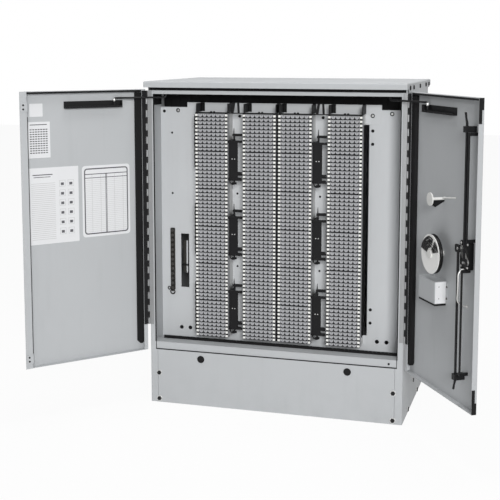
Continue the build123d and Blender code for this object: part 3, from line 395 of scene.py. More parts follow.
class Piece:
    """Gathers the faces of one visual piece and makes its object."""

    def __init__(self, name, place=CABINET):
        self.name = name
        self.place = place
        self.points = []
        self.faces = []
        self.slots = []

    def add(self, points, faces, slot=0):
        start = len(self.points)
        self.points.extend(self.place.point(point) for point in points)
        for face in faces:
            self.faces.append([start + index for index in face])
            self.slots.append(slot)

    def prism(self, outline, start, end, slot=0):
        """An outline in x and z, drawn out along y."""
        points = [(x, start, z) for x, z in outline] + [(x, end, z) for x, z in outline]
        self.add(points, tube_faces(2, len(outline)), slot)

    def bar(self, x, y, z, slot=0):
        self.prism([(x[0], z[0]), (x[1], z[0]), (x[1], z[1]), (x[0], z[1])], y[0], y[1], slot)

    def turned(self, profile, centre, axis, steps=20, slot=0):
        """A profile of (radius, height) pairs turned about an axis through centre."""
        axis = Vector(axis).normalized()
        spokes = wheel(axis, axis.orthogonal().normalized(), steps)
        points = []
        for radius, height in profile:
            points += [Vector(centre) + axis * height + spoke * radius for spoke in spokes]
        self.add(points, tube_faces(len(profile), steps), slot)

    def ring(self, centre, axis, radius, wire, steps=24, slot=0):
        """A round wire ring or washer edge."""
        axis = Vector(axis).normalized()
        around = 8
        points = []
        for spoke in wheel(axis, axis.orthogonal().normalized(), steps):
            for part in range(around):
                lean = math.tau * part / around
                reach = radius + wire * math.cos(lean)
                points.append(Vector(centre) + spoke * reach + axis * wire * math.sin(lean))
        faces = []
        for step in range(steps):
            for part in range(around):
                after, next_part = (step + 1) % steps, (part + 1) % around
                faces.append((step * around + part, after * around + part,
                              after * around + next_part, step * around + next_part))
        self.add(points, faces, slot)

    def rod(self, path, radius, sides=10, slot=0):
        """A round rod along a smooth path of points."""
        path = [Vector(point) for point in path]
        points = []
        side = None
        for index, point in enumerate(path):
            ahead = path[min(index + 1, len(path) - 1)] - path[max(index - 1, 0)]
            ahead.normalize()
            side = ahead.orthogonal() if side is None else side - ahead * side.dot(ahead)
            side.normalize()
            points += [point + spoke * radius for spoke in wheel(ahead, side, sides)]
        self.add(points, tube_faces(len(path), sides), slot)

    def make(self, body, materials, smooth=False):
        mesh = bpy.data.meshes.new(self.name)
        mesh.from_pydata(self.points, [], self.faces)
        for material in materials:
            mesh.materials.append(material)
        mesh.polygons.foreach_set("material_index", self.slots)
        work = bmesh.new()
        work.from_mesh(mesh)
        bmesh.ops.recalc_face_normals(work, faces=work.faces)
        work.to_mesh(mesh)
        work.free()
        if smooth:
            mesh.shade_smooth()
            mesh.set_sharp_from_angle(angle=math.radians(SHARP_ANGLE))
        made = linked(self.name, mesh)
        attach(made, body)


def bend(start, control, end, steps=12):
    """Points of a smooth bend from start to end, pulled towards control."""
    start, control, end = Vector(start), Vector(control), Vector(end)
    points = []
    for step in range(steps + 1):
        t = step / steps
        points.append(start * (1 - t) ** 2 + control * (2 * t * (1 - t)) + end * t ** 2)
    return points


def rounded(x, z, radius, steps=6):
    """The outline of a plate with round corners."""
    corners = ((x[1] - radius, z[0] + radius, -90), (x[1] - radius, z[1] - radius, 0),
               (x[0] + radius, z[1] - radius, 90), (x[0] + radius, z[0] + radius, 180))
    outline = []
    for centre_x, centre_z, start in corners:
        for step in range(steps + 1):
            turn = math.radians(start + 90 * step / steps)
            outline.append((centre_x + radius * math.cos(turn), centre_z + radius * math.sin(turn)))
    return outline


def box_mm(name):
    """A node's lowest and highest corners in millimetres."""
    low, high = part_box(name)
    return [value / MM for value in low], [value / MM for value in high]


def mirrored(side, first, second):
    """A span in x on the left (side -1) or on the right (side 1), lower end first."""
    return sorted((side * first, side * second))


# Fasteners as (radius, height) profiles, and the ways in which they point
SCREW_HEAD = ((4.2, 0.0), (4.2, 0.9), (3.4, 1.9), (1.6, 2.2), (1.2, 1.3), (0.2, 1.3))
PAN_HEAD = ((6.0, 0.0), (6.0, 1.2), (5.0, 2.6), (2.2, 3.2), (1.7, 1.9), (0.2, 1.9))
GUIDE_SCREW = ((2.0, 0.0), (2.0, 0.5), (1.4, 0.9), (0.2, 1.0))
RIVET = ((3.0, 0.0), (2.9, 0.12), (2.2, 0.20), (0.2, 0.22))
UP = (0, 0, 1)
OUT = (0, -1, 0)
ALONG = (1, 0, 0)
INWARD = (0, 1, 0)

# Terminal blocks: rounded lugs over black bars that paint the shade in the wire slots, white end teeth on a
# black backing that paints the shade between them, and contact notches painted black as the shade in their
# openings
COLUMNS = 4
BLOCKS = 6
ROWS = 10
BLOCK_GAP = 1.2
GROOVE = 5.2
GROOVE_DEPTH = 8.0
LUGS = 6
LUG_PROUD = 1.2
LUG_RISE = 6.0
LUG_DROP = 2.2
LUG_EDGE = 0.4
LUG_SHARE = 0.44
LUG_STEPS = 10
SLOT_RISE = 7.2
BACKING_PROUD = 0.25
BACKING_SUNK = 1.0
TOOTH = 9.0
TOOTH_TALL = 8.4
TOOTH_PROUD = 1.4
TOOTH_CORNER = 1.6
TOOTH_MARGIN = 2.5
NOTCH_WIDE = 3.0
NOTCH_TALL = 1.4
NOTCH_DROP = 3.2
NOTCH_PROUD = 0.1
TOP_STRIP = 4.0
TOP_STRIP_LIFT = 0.2
TOP_STRIP_PROUD = 1.0
TOP_STRIP_DEEP = 22.0
TOP_STUD = ((4.2, 0.0), (4.2, 3.0), (3.0, 4.4), (0.3, 4.6))
STUD_STEP = 6.0
STUD_OFFSET = 4.0
STUD_BACK = 5.0
# The third tone is black plastic: real black for the top strip and studs, painted shade for the slot bars, the
# tooth backing and the notches
BODY_TONE, TOOTH_TONE, BLACK_AND_SHADE_TONE = range(3)

for number in range(1, COLUMNS + 1):
    low, high = box_mm(f"terminal_blocks_{number}")
    pitch = (high[2] - low[2] + BLOCK_GAP) / (BLOCKS * ROWS)
    face = low[1]
    shade_backing = (face - BACKING_PROUD, face + BACKING_SUNK)
    detail = Piece(f"terminal_detail_{number}")
    field = (low[0] + TOOTH + TOOTH_MARGIN, high[0] - TOOTH - TOOTH_MARGIN)
    lug_pitch = (field[1] - field[0]) / LUGS
    half = LUG_SHARE * lug_pitch
    ends = ((low[0], low[0] + TOOTH), (high[0] - TOOTH, high[0]))
    # Black backing behind the end teeth: painted shade in the gaps between the teeth
    for end in ends:
        detail.bar(end, shade_backing, (low[2], high[2]), BLACK_AND_SHADE_TONE)
    for row in range(BLOCKS * ROWS):
        rib_low = low[2] + row * pitch + (GROOVE - BLOCK_GAP) / 2
        rib_high = rib_low + pitch - GROOVE
        middle = (rib_low + rib_high) / 2
        for end in ends:
            tooth = rounded(end, (middle - TOOTH_TALL / 2, middle + TOOTH_TALL / 2), TOOTH_CORNER, 2)
            detail.prism(tooth, face - TOOTH_PROUD, face, TOOTH_TONE)
        slot_foot = max(low[2], rib_low - GROOVE + LUG_EDGE)
        # Black bar in the groove under the lugs: painted shade of the wire slot
        detail.bar(field, shade_backing, (slot_foot, rib_low + SLOT_RISE), BLACK_AND_SHADE_TONE)
        lug_top = rib_high - LUG_EDGE
        shoulder = rib_low + LUG_RISE
        drop = LUG_RISE + (LUG_DROP if row % ROWS else 0.0)
        notch_z = (rib_high - NOTCH_DROP, rib_high - NOTCH_DROP + NOTCH_TALL)
        for lug in range(LUGS):
            centre = field[0] + (lug + 0.5) * lug_pitch
            outline = [(centre + half, lug_top), (centre - half, lug_top)]
            for step in range(LUG_STEPS + 1):
                turn = math.pi + math.pi * step / LUG_STEPS
                outline.append((centre + half * math.cos(turn), shoulder + drop * math.sin(turn)))
            detail.prism(outline, face - LUG_PROUD, face + GROOVE_DEPTH, BODY_TONE)
            # Black notch on each lug: painted shade in its contact opening
            notch_x = (centre - NOTCH_WIDE / 2, centre + NOTCH_WIDE / 2)
            detail.bar(notch_x, (face - LUG_PROUD - NOTCH_PROUD, face), notch_z, BLACK_AND_SHADE_TONE)
    # Black top strip and studs: real black plastic
    strip_z = (high[2] + TOP_STRIP_LIFT, high[2] + TOP_STRIP)
    detail.bar((low[0], high[0]), (face - TOP_STRIP_PROUD, face + TOP_STRIP_DEEP), strip_z, BLACK_AND_SHADE_TONE)
    for step in (-STUD_STEP, STUD_STEP):
        stud = (high[0] + low[0]) / 2 + STUD_OFFSET + step
        detail.turned(TOP_STUD, (stud, face + STUD_BACK, strip_z[1]), UP, 10, BLACK_AND_SHADE_TONE)
    detail.make("cabinet", (block_plastic, tooth_plastic, black_plastic))

# Black side guides at the left column
SIDE_GUIDE = 4.4
SIDE_GUIDE_SUNK = 1.0
SIDE_GUIDE_BEHIND = 40.0
SIDE_GUIDE_RUNS = ((283, 484), (595, 796), (936, 1142))
SIDE_TABS = 8
SIDE_TAB = 12.0
SIDE_TAB_PROUD = 3.0
block_low, block_high = box_mm("terminal_blocks_1")
block_face = block_low[1]
side_guides = Piece("side_guides")
guide_x = (block_low[0] - SIDE_GUIDE, block_low[0])
guide_front = block_face + SIDE_GUIDE_SUNK
for run in SIDE_GUIDE_RUNS:
    side_guides.bar(guide_x, (guide_front, block_high[1] + SIDE_GUIDE_BEHIND), run)
    for step in range(SIDE_TABS):
        low = run[0] + SIDE_TAB + 2 * SIDE_TAB * step
        side_guides.bar(guide_x, (block_face - SIDE_TAB_PROUD, guide_front), (low, low + SIDE_TAB))
side_guides.make("cabinet", (black_plastic,))

# A black strip with tabs between the middle columns: painted shade in the deep gap between them
STRIP_SUNK = 6.0
STRIP_BEHIND = 4.0
STRIP_TAB = 14.0
STRIP_TAB_START = 4.0
STRIP_TAB_PITCH = 29.3
STRIP_TAB_INSET = 3.0
STRIP_TAB_PROUD = 3.0
second_low, second_high = box_mm("terminal_blocks_2")
third_low, third_high = box_mm("terminal_blocks_3")
gap_shade_strip = Piece("gap_shade_strip")
strip_face = block_face + STRIP_SUNK
strip_y = (strip_face, block_high[1] + STRIP_BEHIND)
gap_shade_strip.bar((second_high[0], third_low[0]), strip_y, (block_low[2], block_high[2]))
tab_x = (second_high[0] + STRIP_TAB_INSET, third_low[0] - STRIP_TAB_INSET)
for row in range(BLOCKS * ROWS // 2):
    low = block_low[2] + STRIP_TAB_START + row * STRIP_TAB_PITCH
    gap_shade_strip.bar(tab_x, (strip_face - STRIP_TAB_PROUD, strip_face), (low, low + STRIP_TAB))
gap_shade_strip.make("cabinet", (black_plastic,))

# Cable straps across the two wide gaps over the columns: a foot strip and leaning fingers
STRAP_SUNK = 3.0
STRAP_THICK = 4.0
STRAP_TALL = 42.0
# Each finger: its distance from the gap's left end, its width and its lean
STRAP_FINGERS = ((14, 10, 6), (40, 8, -2))
fourth_low = box_mm("terminal_blocks_4")[0]
cable_straps = Piece("cable_straps")
strap_y = (block_face + STRAP_SUNK, block_face + STRAP_SUNK + STRAP_THICK)
strap_foot = (block_high[2] + TOP_STRIP_LIFT, block_high[2] + TOP_STRIP)
strap_top = block_high[2] + STRAP_TALL
for start, end in ((block_high[0], second_low[0]), (third_high[0], fourth_low[0])):
    cable_straps.bar((start, end), strap_y, strap_foot)
    for along, width, lean in STRAP_FINGERS:
        left = start + along
        right = left + width
        finger = [(left, strap_foot[1]), (right, strap_foot[1]),
                  (right + lean, strap_top), (left + lean, strap_top)]
        cable_straps.prism(finger, *strap_y)
cable_straps.make("cabinet", (black_plastic,))

# Equipment panel: black screws, ringed bright screws and a plain plate, placed in x and z
PAN_SCREWS = ((353, 1087), (353, 1037), (353, 400), (353, 348), (-483, 1149), (-170, 1134), (162, 1134))
RINGED_SCREWS = ((-425, 1153), (352, 1144), (425, 1152))
EDGE_SCREWS = [(-451, 1064), (-451, 822)]
GAP_SCREWS = [(x, z) for x in (-180, -152, 152, 180) for z in (830, 540)]
RING = 6.5
RING_WIRE = 1.6
RING_LIFT = 1.2
PLATE_X = (329, 386)
PLATE_Z = (1112, 1179)
PLATE_CORNER = 3.0
PLATE_THICK = 0.6
BLACK_TONE, BRIGHT_TONE = range(2)
panel_low, panel_high = box_mm("equipment_panel")
ground_low, ground_high = box_mm("ground_bar")
panel_face = ground_high[1]
panel_hardware = Piece("panel_hardware")
for x, z in PAN_SCREWS:
    panel_hardware.turned(PAN_HEAD, (x, panel_face, z), OUT, 18, BLACK_TONE)
for x, z in RINGED_SCREWS:
    panel_hardware.ring((x, panel_face - RING_LIFT, z), OUT, RING, RING_WIRE, 24, BLACK_TONE)
    panel_hardware.turned(SCREW_HEAD, (x, panel_face, z), OUT, 16, BRIGHT_TONE)
for x, z in GAP_SCREWS + EDGE_SCREWS:
    panel_hardware.turned(SCREW_HEAD, (x, panel_face, z), OUT, 16, BLACK_TONE)
panel_hardware.make("cabinet", (black_plastic, zinc_steel), smooth=True)

panel_plate = Piece("panel_plate")
panel_plate.prism(rounded(PLATE_X, PLATE_Z, PLATE_CORNER), panel_face - PLATE_THICK, panel_face)
panel_plate.make("cabinet", (panel_paint,))

# Dark foam that closes the space over the equipment panel and along the side walls, with its ribs; its black
# also paints the shade under the header
FOAM_MARGIN = 2.0
FOAM_BEHIND = 34.0
FOAM_THICK = 8.0
FOAM_DROP = 24.0
FOAM_RISE = 20.0
FOAM_RIBS = 24
FOAM_RIB = 18.0
RIB_PROUD = 2.0
WALL = 498.0
WALL_FOAM = 5.0
WALL_FOAM_DROP = 8.0
WALL_FOAM_GAP = 0.5
WALL_FOAM_FRONT = -282.0
WALL_FOAM_REAR = 4.0
WALL_RIBS = 4
WALL_RIB = 20.0
WALL_RIB_START = 6.0
WALL_RIB_PITCH = 29.0
header_low, header_high = box_mm("front_header")
foam_and_shade = Piece("panel_foam_and_shade")
foam_x = (panel_low[0] + FOAM_MARGIN, panel_high[0] - FOAM_MARGIN)
foam_z = (panel_high[2] - FOAM_DROP, header_low[2] + FOAM_RISE)
foam_face = panel_face + FOAM_BEHIND
foam_and_shade.bar(foam_x, (foam_face, foam_face + FOAM_THICK), foam_z)
for rib in range(FOAM_RIBS):
    x = foam_x[0] + (rib + 0.5) * (foam_x[1] - foam_x[0]) / FOAM_RIBS
    rib_z = (foam_z[0] + RIB_PROUD, foam_z[1] - RIB_PROUD)
    foam_and_shade.bar((x - FOAM_RIB / 2, x + FOAM_RIB / 2), (foam_face - RIB_PROUD, foam_face), rib_z)
wall_foam_foot = panel_high[2] - WALL_FOAM_DROP
for side in (-1, 1):
    wall_x = mirrored(side, WALL, WALL - WALL_FOAM)
    rib_x = mirrored(side, WALL - WALL_FOAM, WALL - WALL_FOAM - RIB_PROUD)
    wall_y = (WALL_FOAM_FRONT, panel_face - WALL_FOAM_REAR)
    foam_and_shade.bar(wall_x, wall_y, (wall_foam_foot, header_low[2] - WALL_FOAM_GAP))
    for rib in range(WALL_RIBS):
        y = WALL_FOAM_FRONT + WALL_RIB_START + rib * WALL_RIB_PITCH
        foam_and_shade.bar(rib_x, (y, y + WALL_RIB), (wall_foam_foot + RIB_PROUD, header_low[2] - RIB_PROUD))
foam_and_shade.make("cabinet", (rubber,))

# Rubber edging on the inner edge of each jamb
JAMB_EDGE = 478.0
JAMB_FACE = -290.0
JAMB_RUN = (247, 1221)
EDGING = 1.6
EDGING_LAP = 2.0
EDGING_PROUD = 0.6
EDGING_DEEP = 3.5
jamb_edging = Piece("jamb_edging")
edging_front = JAMB_FACE - EDGING_PROUD
for side in (-1, 1):
    edge_x = mirrored(side, JAMB_EDGE, JAMB_EDGE - EDGING)
    lap_x = mirrored(side, JAMB_EDGE + EDGING_LAP, JAMB_EDGE)
    jamb_edging.bar(edge_x, (edging_front, JAMB_FACE + EDGING_DEEP), JAMB_RUN)
    jamb_edging.bar(lap_x, (edging_front, JAMB_FACE), JAMB_RUN)
jamb_edging.make("cabinet", (rubber,))

# A dark duct with a pale flange behind the panel's window, and a clip across it
# Each bar: its spans in x, behind the panel's face and in height
DUCT_BARS = (((-415, -399), (18, 20), (499, 629)), ((-399, -394), (14, 20), (499, 629)))
DUCT_CLIP = ((-416, -388), (8, 14), (528, 534))


def behind(span):
    """A span in depth, counted from the panel's face."""
    return [panel_face + deep for deep in span]


window_duct = Piece("window_duct")
for slot, (x, deep, z) in enumerate(DUCT_BARS):
    window_duct.bar(x, behind(deep), z, slot)
window_duct.make("cabinet", (ground_metal, panel_paint))
duct_clip = Piece("window_duct_clip")
duct_clip.bar(DUCT_CLIP[0], behind(DUCT_CLIP[1]), DUCT_CLIP[2])
duct_clip.make("cabinet", (black_plastic,))

# Ground bar: a ring at its foot and a small one beside it, each on a short tab
# Each ring: its place from the middle of the bar's foot, its radius, wire and steps
GROUND_RINGS = (((0, -2, -6), 9.0, 2.6, 28), ((-15, -1, 8), 5.6, 2.2, 24))
ground_x = (ground_low[0] + ground_high[0]) / 2
ground_face = ground_low[1]
ground_foot = ground_low[2]
ground_lug = Piece("ground_lug")
for (x, y, z), radius, wire, steps in GROUND_RINGS:
    ground_lug.ring((ground_x + x, ground_face + y, ground_foot + z), OUT, radius, wire, steps)
ground_lug.bar((ground_x - 4, ground_x + 4), (ground_face - 3, ground_high[1]),
               (ground_foot - 4, ground_foot + 6))
ground_lug.bar((ground_x - 10, ground_x - 6), (ground_face - 2, ground_face + 1),
               (ground_foot + 5, ground_foot + 10))
ground_lug.make("cabinet", (ground_metal,), smooth=True)

# Rubber lining on the last channel's side, next to the panel's long slot; its black also paints shade,
# widening the dark of the slot
SLOT_EDGE = 327.4
SLOT_RUN = (298, 1110)
LINING = 1.2
LINING_DEEP = 42.0
slot_shade_lining = Piece("slot_shade_lining")
channel_side = box_mm("column_channel_4")[1][0]
slot_shade_lining.bar((channel_side, channel_side + LINING), (panel_face - LINING_DEEP, panel_face), SLOT_RUN)
slot_shade_lining.bar((channel_side + LINING, SLOT_EDGE), (panel_face - LINING, panel_face), SLOT_RUN)
slot_shade_lining.make("cabinet", (rubber,))

# Wire guides: thick prongs, a thin tip and a hook on each, and two pale screws in its middle
GUIDE_STARTS = (-192.0, 140.0)
GUIDE_BODIES = ((301, 457), (595, 751), (889, 1045))
GUIDE_WIDTH = 34.0
GUIDE_EAR = 4.4
GUIDE_SCREW_RISE = 84.0
GUIDE_SCREW_STEP = 5.0
STEM = 20.0
SPUR = 5.0
PRONG = 9.0
PRONG_PROUD = 4.6
LONG_PRONG = 19.0
SHORT_PRONG = 17.0
UPPER_PRONG_RISE = 16.0
LOWER_PRONG_RISES = (26.0, 4.0)
TIP_RISE = 48.0
TIP_FOOT = 2.0
TIP_END = 0.6
TIP_PROUD = 3.0
HOOK_WIRE = 2.6
HOOK_PROUD = 2.0
guide_face = box_mm("wire_guides")[0][1]
prong_y = (guide_face - PRONG_PROUD, guide_face)
hook_y = guide_face - HOOK_PROUD
guide_prongs = Piece("guide_prongs")
guide_screws = Piece("guide_screws")
for start in GUIDE_STARTS:
    end = start + GUIDE_WIDTH
    stem = start + STEM
    for low, high in GUIDE_BODIES:
        upper = (high + UPPER_PRONG_RISE, high + UPPER_PRONG_RISE + PRONG)
        guide_prongs.bar((start - GUIDE_EAR, end + LONG_PRONG), prong_y, (high - PRONG, high))
        guide_prongs.bar((stem - SPUR, end + LONG_PRONG), prong_y, upper)
        tip_top = high + TIP_RISE
        tip = [(stem - TIP_FOOT, upper[1]), (stem + TIP_FOOT, upper[1]),
               (stem + TIP_END, tip_top), (stem - TIP_END, tip_top)]
        guide_prongs.prism(tip, guide_face - TIP_PROUD, guide_face)
        for rise in LOWER_PRONG_RISES:
            guide_prongs.bar((end, end + SHORT_PRONG), prong_y, (low + rise, low + rise + PRONG))
        hook = bend((start + 3, hook_y, low + 2), (start + 4, hook_y, low - 18),
                    (start + 24, hook_y, low - 12))
        guide_prongs.rod(hook, HOOK_WIRE, 8)
        for step in (-GUIDE_SCREW_STEP, GUIDE_SCREW_STEP):
            middle = start + GUIDE_WIDTH / 2
            guide_screws.turned(GUIDE_SCREW, (middle + step, guide_face, low + GUIDE_SCREW_RISE), OUT, 14)
guide_prongs.make("cabinet", (black_plastic,))
guide_screws.make("cabinet", (zinc_steel,), smooth=True)

# Hinge leaves: flat rivets on both faces of each hinge
RIVETS = 20
RIVET_ALONG = 12.5
leaf_low, leaf_high = box_mm("hinge_leaf_cabinet_left")
rivet_pitch = (leaf_high[2] - leaf_low[2]) / RIVETS
for name, jamb, door in (("left", LEFT_JAMB, LEFT_DOOR), ("right", RIGHT_JAMB, RIGHT_DOOR)):
    leaves = (("jamb", "cabinet", jamb, CABINET_LEAF_FACE, OUT, hinge_steel),
              ("door", f"{name}_door", door, DOOR_LEAF_FACE, INWARD, enamel))
    for leaf, body, place, face, way, metal in leaves:
        rivets = Piece(f"hinge_rivets_{name}_{leaf}", place)
        for index in range(RIVETS):
            rivets.turned(RIVET, (RIVET_ALONG, face, leaf_low[2] + (index + 0.5) * rivet_pitch), way, 14)
        rivets.make(body, (metal,), smooth=True)

# Plinth: washers behind the bolt heads
WASHER = ((11.5, 0.0), (11.5, 1.2), (10.8, 1.7), (7.6, 1.7))
FRONT_BOLTS = [(x, z) for x in (-465, 465) for z in (15, 120)]
SIDE_BOLTS = ((-141.6, 14), (-14, 92), (113.6, 14))
BASE_SIDE = 500.0
base_front = box_mm("base_front_panel")[0][1]
washers = Piece("base_washers")
for x, z in FRONT_BOLTS:
    washers.turned(WASHER, (x, base_front, z), OUT, 24)
for side in (-1, 1):
    for y, z in SIDE_BOLTS:
        washers.turned(WASHER, (side * BASE_SIDE, y, z), (side, 0, 0), 24)
washers.make("cabinet", (zinc_steel,), smooth=True)

# Ruled plates on the left door: spans along the door and in height
CARD = 0.5
LINE = 0.15
# Tag, grid, sheet and table, each with its corner radius
PLATES = (((417, 468), (1147, 1195), 2.0), ((390, 480), (995, 1128), 2.0),
          ((281, 480), (672, 958), 2.0), ((68, 266), (682, 955), 12.0))
INK_TONE, FAINT_TONE = range(2)
plate_face = SKIN + CARD
plates = Piece("door_plates", LEFT_DOOR)
rules = Piece("door_plate_rules", LEFT_DOOR)


def rule(x, z, slot):
    """One printed line or field on a plate."""
    rules.bar(x, (plate_face, plate_face + LINE), z, slot)


def marks(columns, rows, start, pitch, size, slot):
    """A regular field of printed lines."""
    for column in range(columns):
        for row in range(rows):
            x = start[0] + column * pitch[0]
            z = start[1] + row * pitch[1]
            rule((x, x + size[0]), (z, z + size[1]), slot)


def round_frame(x, z, width, radii, slot):
    """A printed frame with round corners, of an outer and an inner radius."""
    outer = rounded(x, z, radii[0])
    inner = rounded((x[0] + width, x[1] - width), (z[0] + width, z[1] - width), radii[1])
    count = len(outer)
    points = []
    for depth in (plate_face, plate_face + LINE):
        points += [(along, depth, height) for along, height in outer + inner]
    faces = []
    for index in range(count):
        after = (index + 1) % count
        for base in (0, 2 * count):
            faces.append((base + index, base + after, base + count + after, base + count + index))
        for base in (0, count):
            faces.append((base + index, base + after, base + 2 * count + after, base + 2 * count + index))
    rules.add(points, faces, slot)


for x, z, corner in PLATES:
    plates.prism(rounded(x, z, corner), SKIN, plate_face)
plates.make("left_door", (card,))

# The grid: columns of short marks
marks(7, 11, start=(400, 1012), pitch=(10.2, 8.6), size=(7.6, 3.8), slot=INK_TONE)

# The sheet: faint lines, and two columns of fields, each a mark in a faint frame
FIELDS = (2, 6)
FIELD_PITCH = (34, 36)
FRAME_SIDES = (((300, 704), (24, 1.2)), ((300, 726.8), (24, 1.2)),
               ((300, 705.2), (1.2, 21.6)), ((322.8, 705.2), (1.2, 21.6)))
marks(1, 30, start=(374, 690), pitch=(0, 7.2), size=(94, 1.6), slot=FAINT_TONE)
for start, size in FRAME_SIDES:
    marks(*FIELDS, start, FIELD_PITCH, size, FAINT_TONE)
marks(*FIELDS, start=(306, 709), pitch=FIELD_PITCH, size=(12, 10), slot=INK_TONE)

# The table: a round-cornered border, two halves of faint lines and faint columns
TABLE_COLUMNS = (96, 132, 189, 225)
round_frame((76, 258), (692, 945), width=4.6, radii=(12.0, 8.6), slot=INK_TONE)
for start in TABLE_COLUMNS:
    rule((start, start + 1.2), (698, 920), FAINT_TONE)
marks(2, 28, start=(82, 702), pitch=(90, 7.3), size=(80, 1.0), slot=FAINT_TONE)

# Heavy lines: one on the grid, two on the sheet, two heads and two dividers on the table
HEAVY_LINES = (((402, 468), (1116, 1119)), ((384, 462), (930, 933.5)), ((392, 458), (922, 924.5)),
               ((78.4, 255.6), (921, 924)), ((78.4, 255.6), (907, 909.6)),
               ((163.8, 166.2), (694.4, 924)), ((167.8, 170.2), (694.4, 924)))
for x, z in HEAVY_LINES:
    rule(x, z, INK_TONE)
rules.make("left_door", (ink, faint_ink))

# Strike clips: screws through the lip
CLIP_SCREW = ((4.6, 0.0), (4.6, 1.7), (3.6, 2.1), (0.2, 2.1))
CLIP_ALONG = 499.5
CLIP_FACE = 1.0
CLIP_SCREW_HEIGHTS = (240.5, 255.5, 1176.5, 1191.5)
clips = Piece("strike_clip_screws", LEFT_DOOR)
for height in CLIP_SCREW_HEIGHTS:
    clips.turned(CLIP_SCREW, (CLIP_ALONG, CLIP_FACE, height), INWARD, 14)
clips.make("left_door", (black_plastic,), smooth=True)

# Rubber beads: a black bead along the lip's step on the left door that paints the step's shadow, and webs
# between hinge and seal on both doors
BEAD = 1.6
BEAD_ALONG = 482.6
BEAD_INWARD = -3.4
BEAD_FOOT = 268
BEAD_STEP = 20
BEAD_POINTS = 45
WEB_ALONG = (17.5, 24.5)
WEB_INWARD = (-7.4, -5.9)
WEB_SLOPE = 5.0
WEB_RIB_ALONG = (20.1, 21.3)
WEB_RIB_INWARD = (-6.5, -2.1)
lip_shadow_bead = Piece("lip_shadow_bead", LEFT_DOOR)
bead_heights = [BEAD_FOOT + BEAD_STEP * step for step in range(BEAD_POINTS)]
# A black bead along the lip's step: painted shadow of the step
lip_shadow_bead.rod([(BEAD_ALONG, BEAD_INWARD, height) for height in bead_heights], BEAD, 8)
lip_shadow_bead.make("left_door", (rubber,), smooth=True)
seal_low, seal_high = box_mm("left_hinge_seal")
web_outline = [(WEB_ALONG[0], seal_low[2]), (WEB_ALONG[1], seal_low[2] + WEB_SLOPE),
               (WEB_ALONG[1], seal_high[2]), (WEB_ALONG[0], seal_high[2])]
for name, place in DOORS:
    web = Piece(f"{name}_seal_web", place)
    web.prism(web_outline, *WEB_INWARD)
    web.bar(WEB_RIB_ALONG, WEB_RIB_INWARD, (leaf_low[2], leaf_high[2]))
    web.make(f"{name}_door", (rubber,))

# Stays: bright caps on the bends over the troughs
CAP_PLACE = (132.5, -9.8, 1202.0)
CAP = ((2.0, -5.6), (4.6, -5.2), (5.4, -3.0), (5.4, 2.0), (4.8, 4.4), (2.4, 5.6), (0.2, 5.8))
for name, place in DOORS:
    cap = Piece(f"{name}_stay_cap", place)
    cap.turned(CAP, CAP_PLACE, UP, 20)
    cap.make(f"{name}_stay", (zinc_steel,), smooth=True)

# Latch: case screws, a bright pull link and its eye
CASE_FACE = -2.4
CASE_SCREWS = [(along, height) for along in (418, 462) for height in (688, 764)]
LINK_WIRE = 3.0
LINK_EYE = ((6.0, 0.0), (6.0, 1.5), (4.5, 2.5), (3.2, 2.6))
LINK_FOOT = (433, SKIN, 552)
latch_fittings = Piece("latch_fittings", RIGHT_DOOR)
for along, height in CASE_SCREWS:
    latch_fittings.turned(SCREW_HEAD, (along, CASE_FACE, height), INWARD, 16)
latch_fittings.make("right_door", (zinc_steel,), smooth=True)

pull_link = Piece("latch_pull_link", RIGHT_DOOR)
upper_run = bend((437, -12, 681), (436, 16, 678), (436, 16, 655))
lower_run = bend((436, 16, 655), (439, 17, 612), (431, 15, 582))
foot_run = bend((431, 15, 582), (429, 14, 560), LINK_FOOT)
pull_link.rod(upper_run + lower_run[1:] + foot_run[1:], LINK_WIRE, 12)
pull_link.turned(LINK_EYE, LINK_FOOT, INWARD, 18)
pull_link.make("right_door", (zinc_steel,), smooth=True)

# Upper peg: a spring wire beside it and a black wedge under its stem that paints the shade under the stem
PEG_ALONG = 252.0
PEG_HEIGHT = 887.0
SPRING_WIRE = 2.0
SPRING_LOW = PEG_HEIGHT + 5
SPRING_HIGH = PEG_HEIGHT + 13
PEG_SHADOW_WIDE = 8.0
spring_wire = Piece("peg_spring_wire", RIGHT_DOOR)
wire_run = bend((259, SKIN, SPRING_LOW), (259, -10, SPRING_LOW), (272, -10, SPRING_LOW))
wire_run += bend((272, -10, SPRING_LOW), (332, -10, SPRING_HIGH), (338, SKIN, SPRING_HIGH))[1:]
spring_wire.rod(wire_run, SPRING_WIRE, 10)
spring_wire.make("right_door", (tooth_plastic,), smooth=True)

# A black wedge under the stem: painted shade under the peg's stem
peg_shadow_wedge = Piece("peg_shadow_wedge", RIGHT_DOOR_ACROSS)
peg_shadow_outline = [(SKIN, PEG_HEIGHT - 4), (22, PEG_HEIGHT - 4), (22, PEG_HEIGHT - 22),
                  (14, PEG_HEIGHT - 28), (SKIN, PEG_HEIGHT - 9)]
peg_shadow_wedge.prism(peg_shadow_outline, PEG_ALONG - PEG_SHADOW_WIDE / 2, PEG_ALONG + PEG_SHADOW_WIDE / 2)
peg_shadow_wedge.make("right_door", (black_plastic,))

# Reel: wound wire, and loose loops over its face
REEL_HEIGHT = 698.0
WIRE = 1.5
TURNS = 4
TURN_STEPS = 48
WOUND = 62.6
FLANGE_FACE = REEL_FRONT + 2.0
LOOP = 2.2
LOOP_STEPS = 16
LOOP_LIFT = 0.3
LOOP_WAVE = 1.8
LOOP_WAVES = 4.0
LOOP_PHASE = 1.7
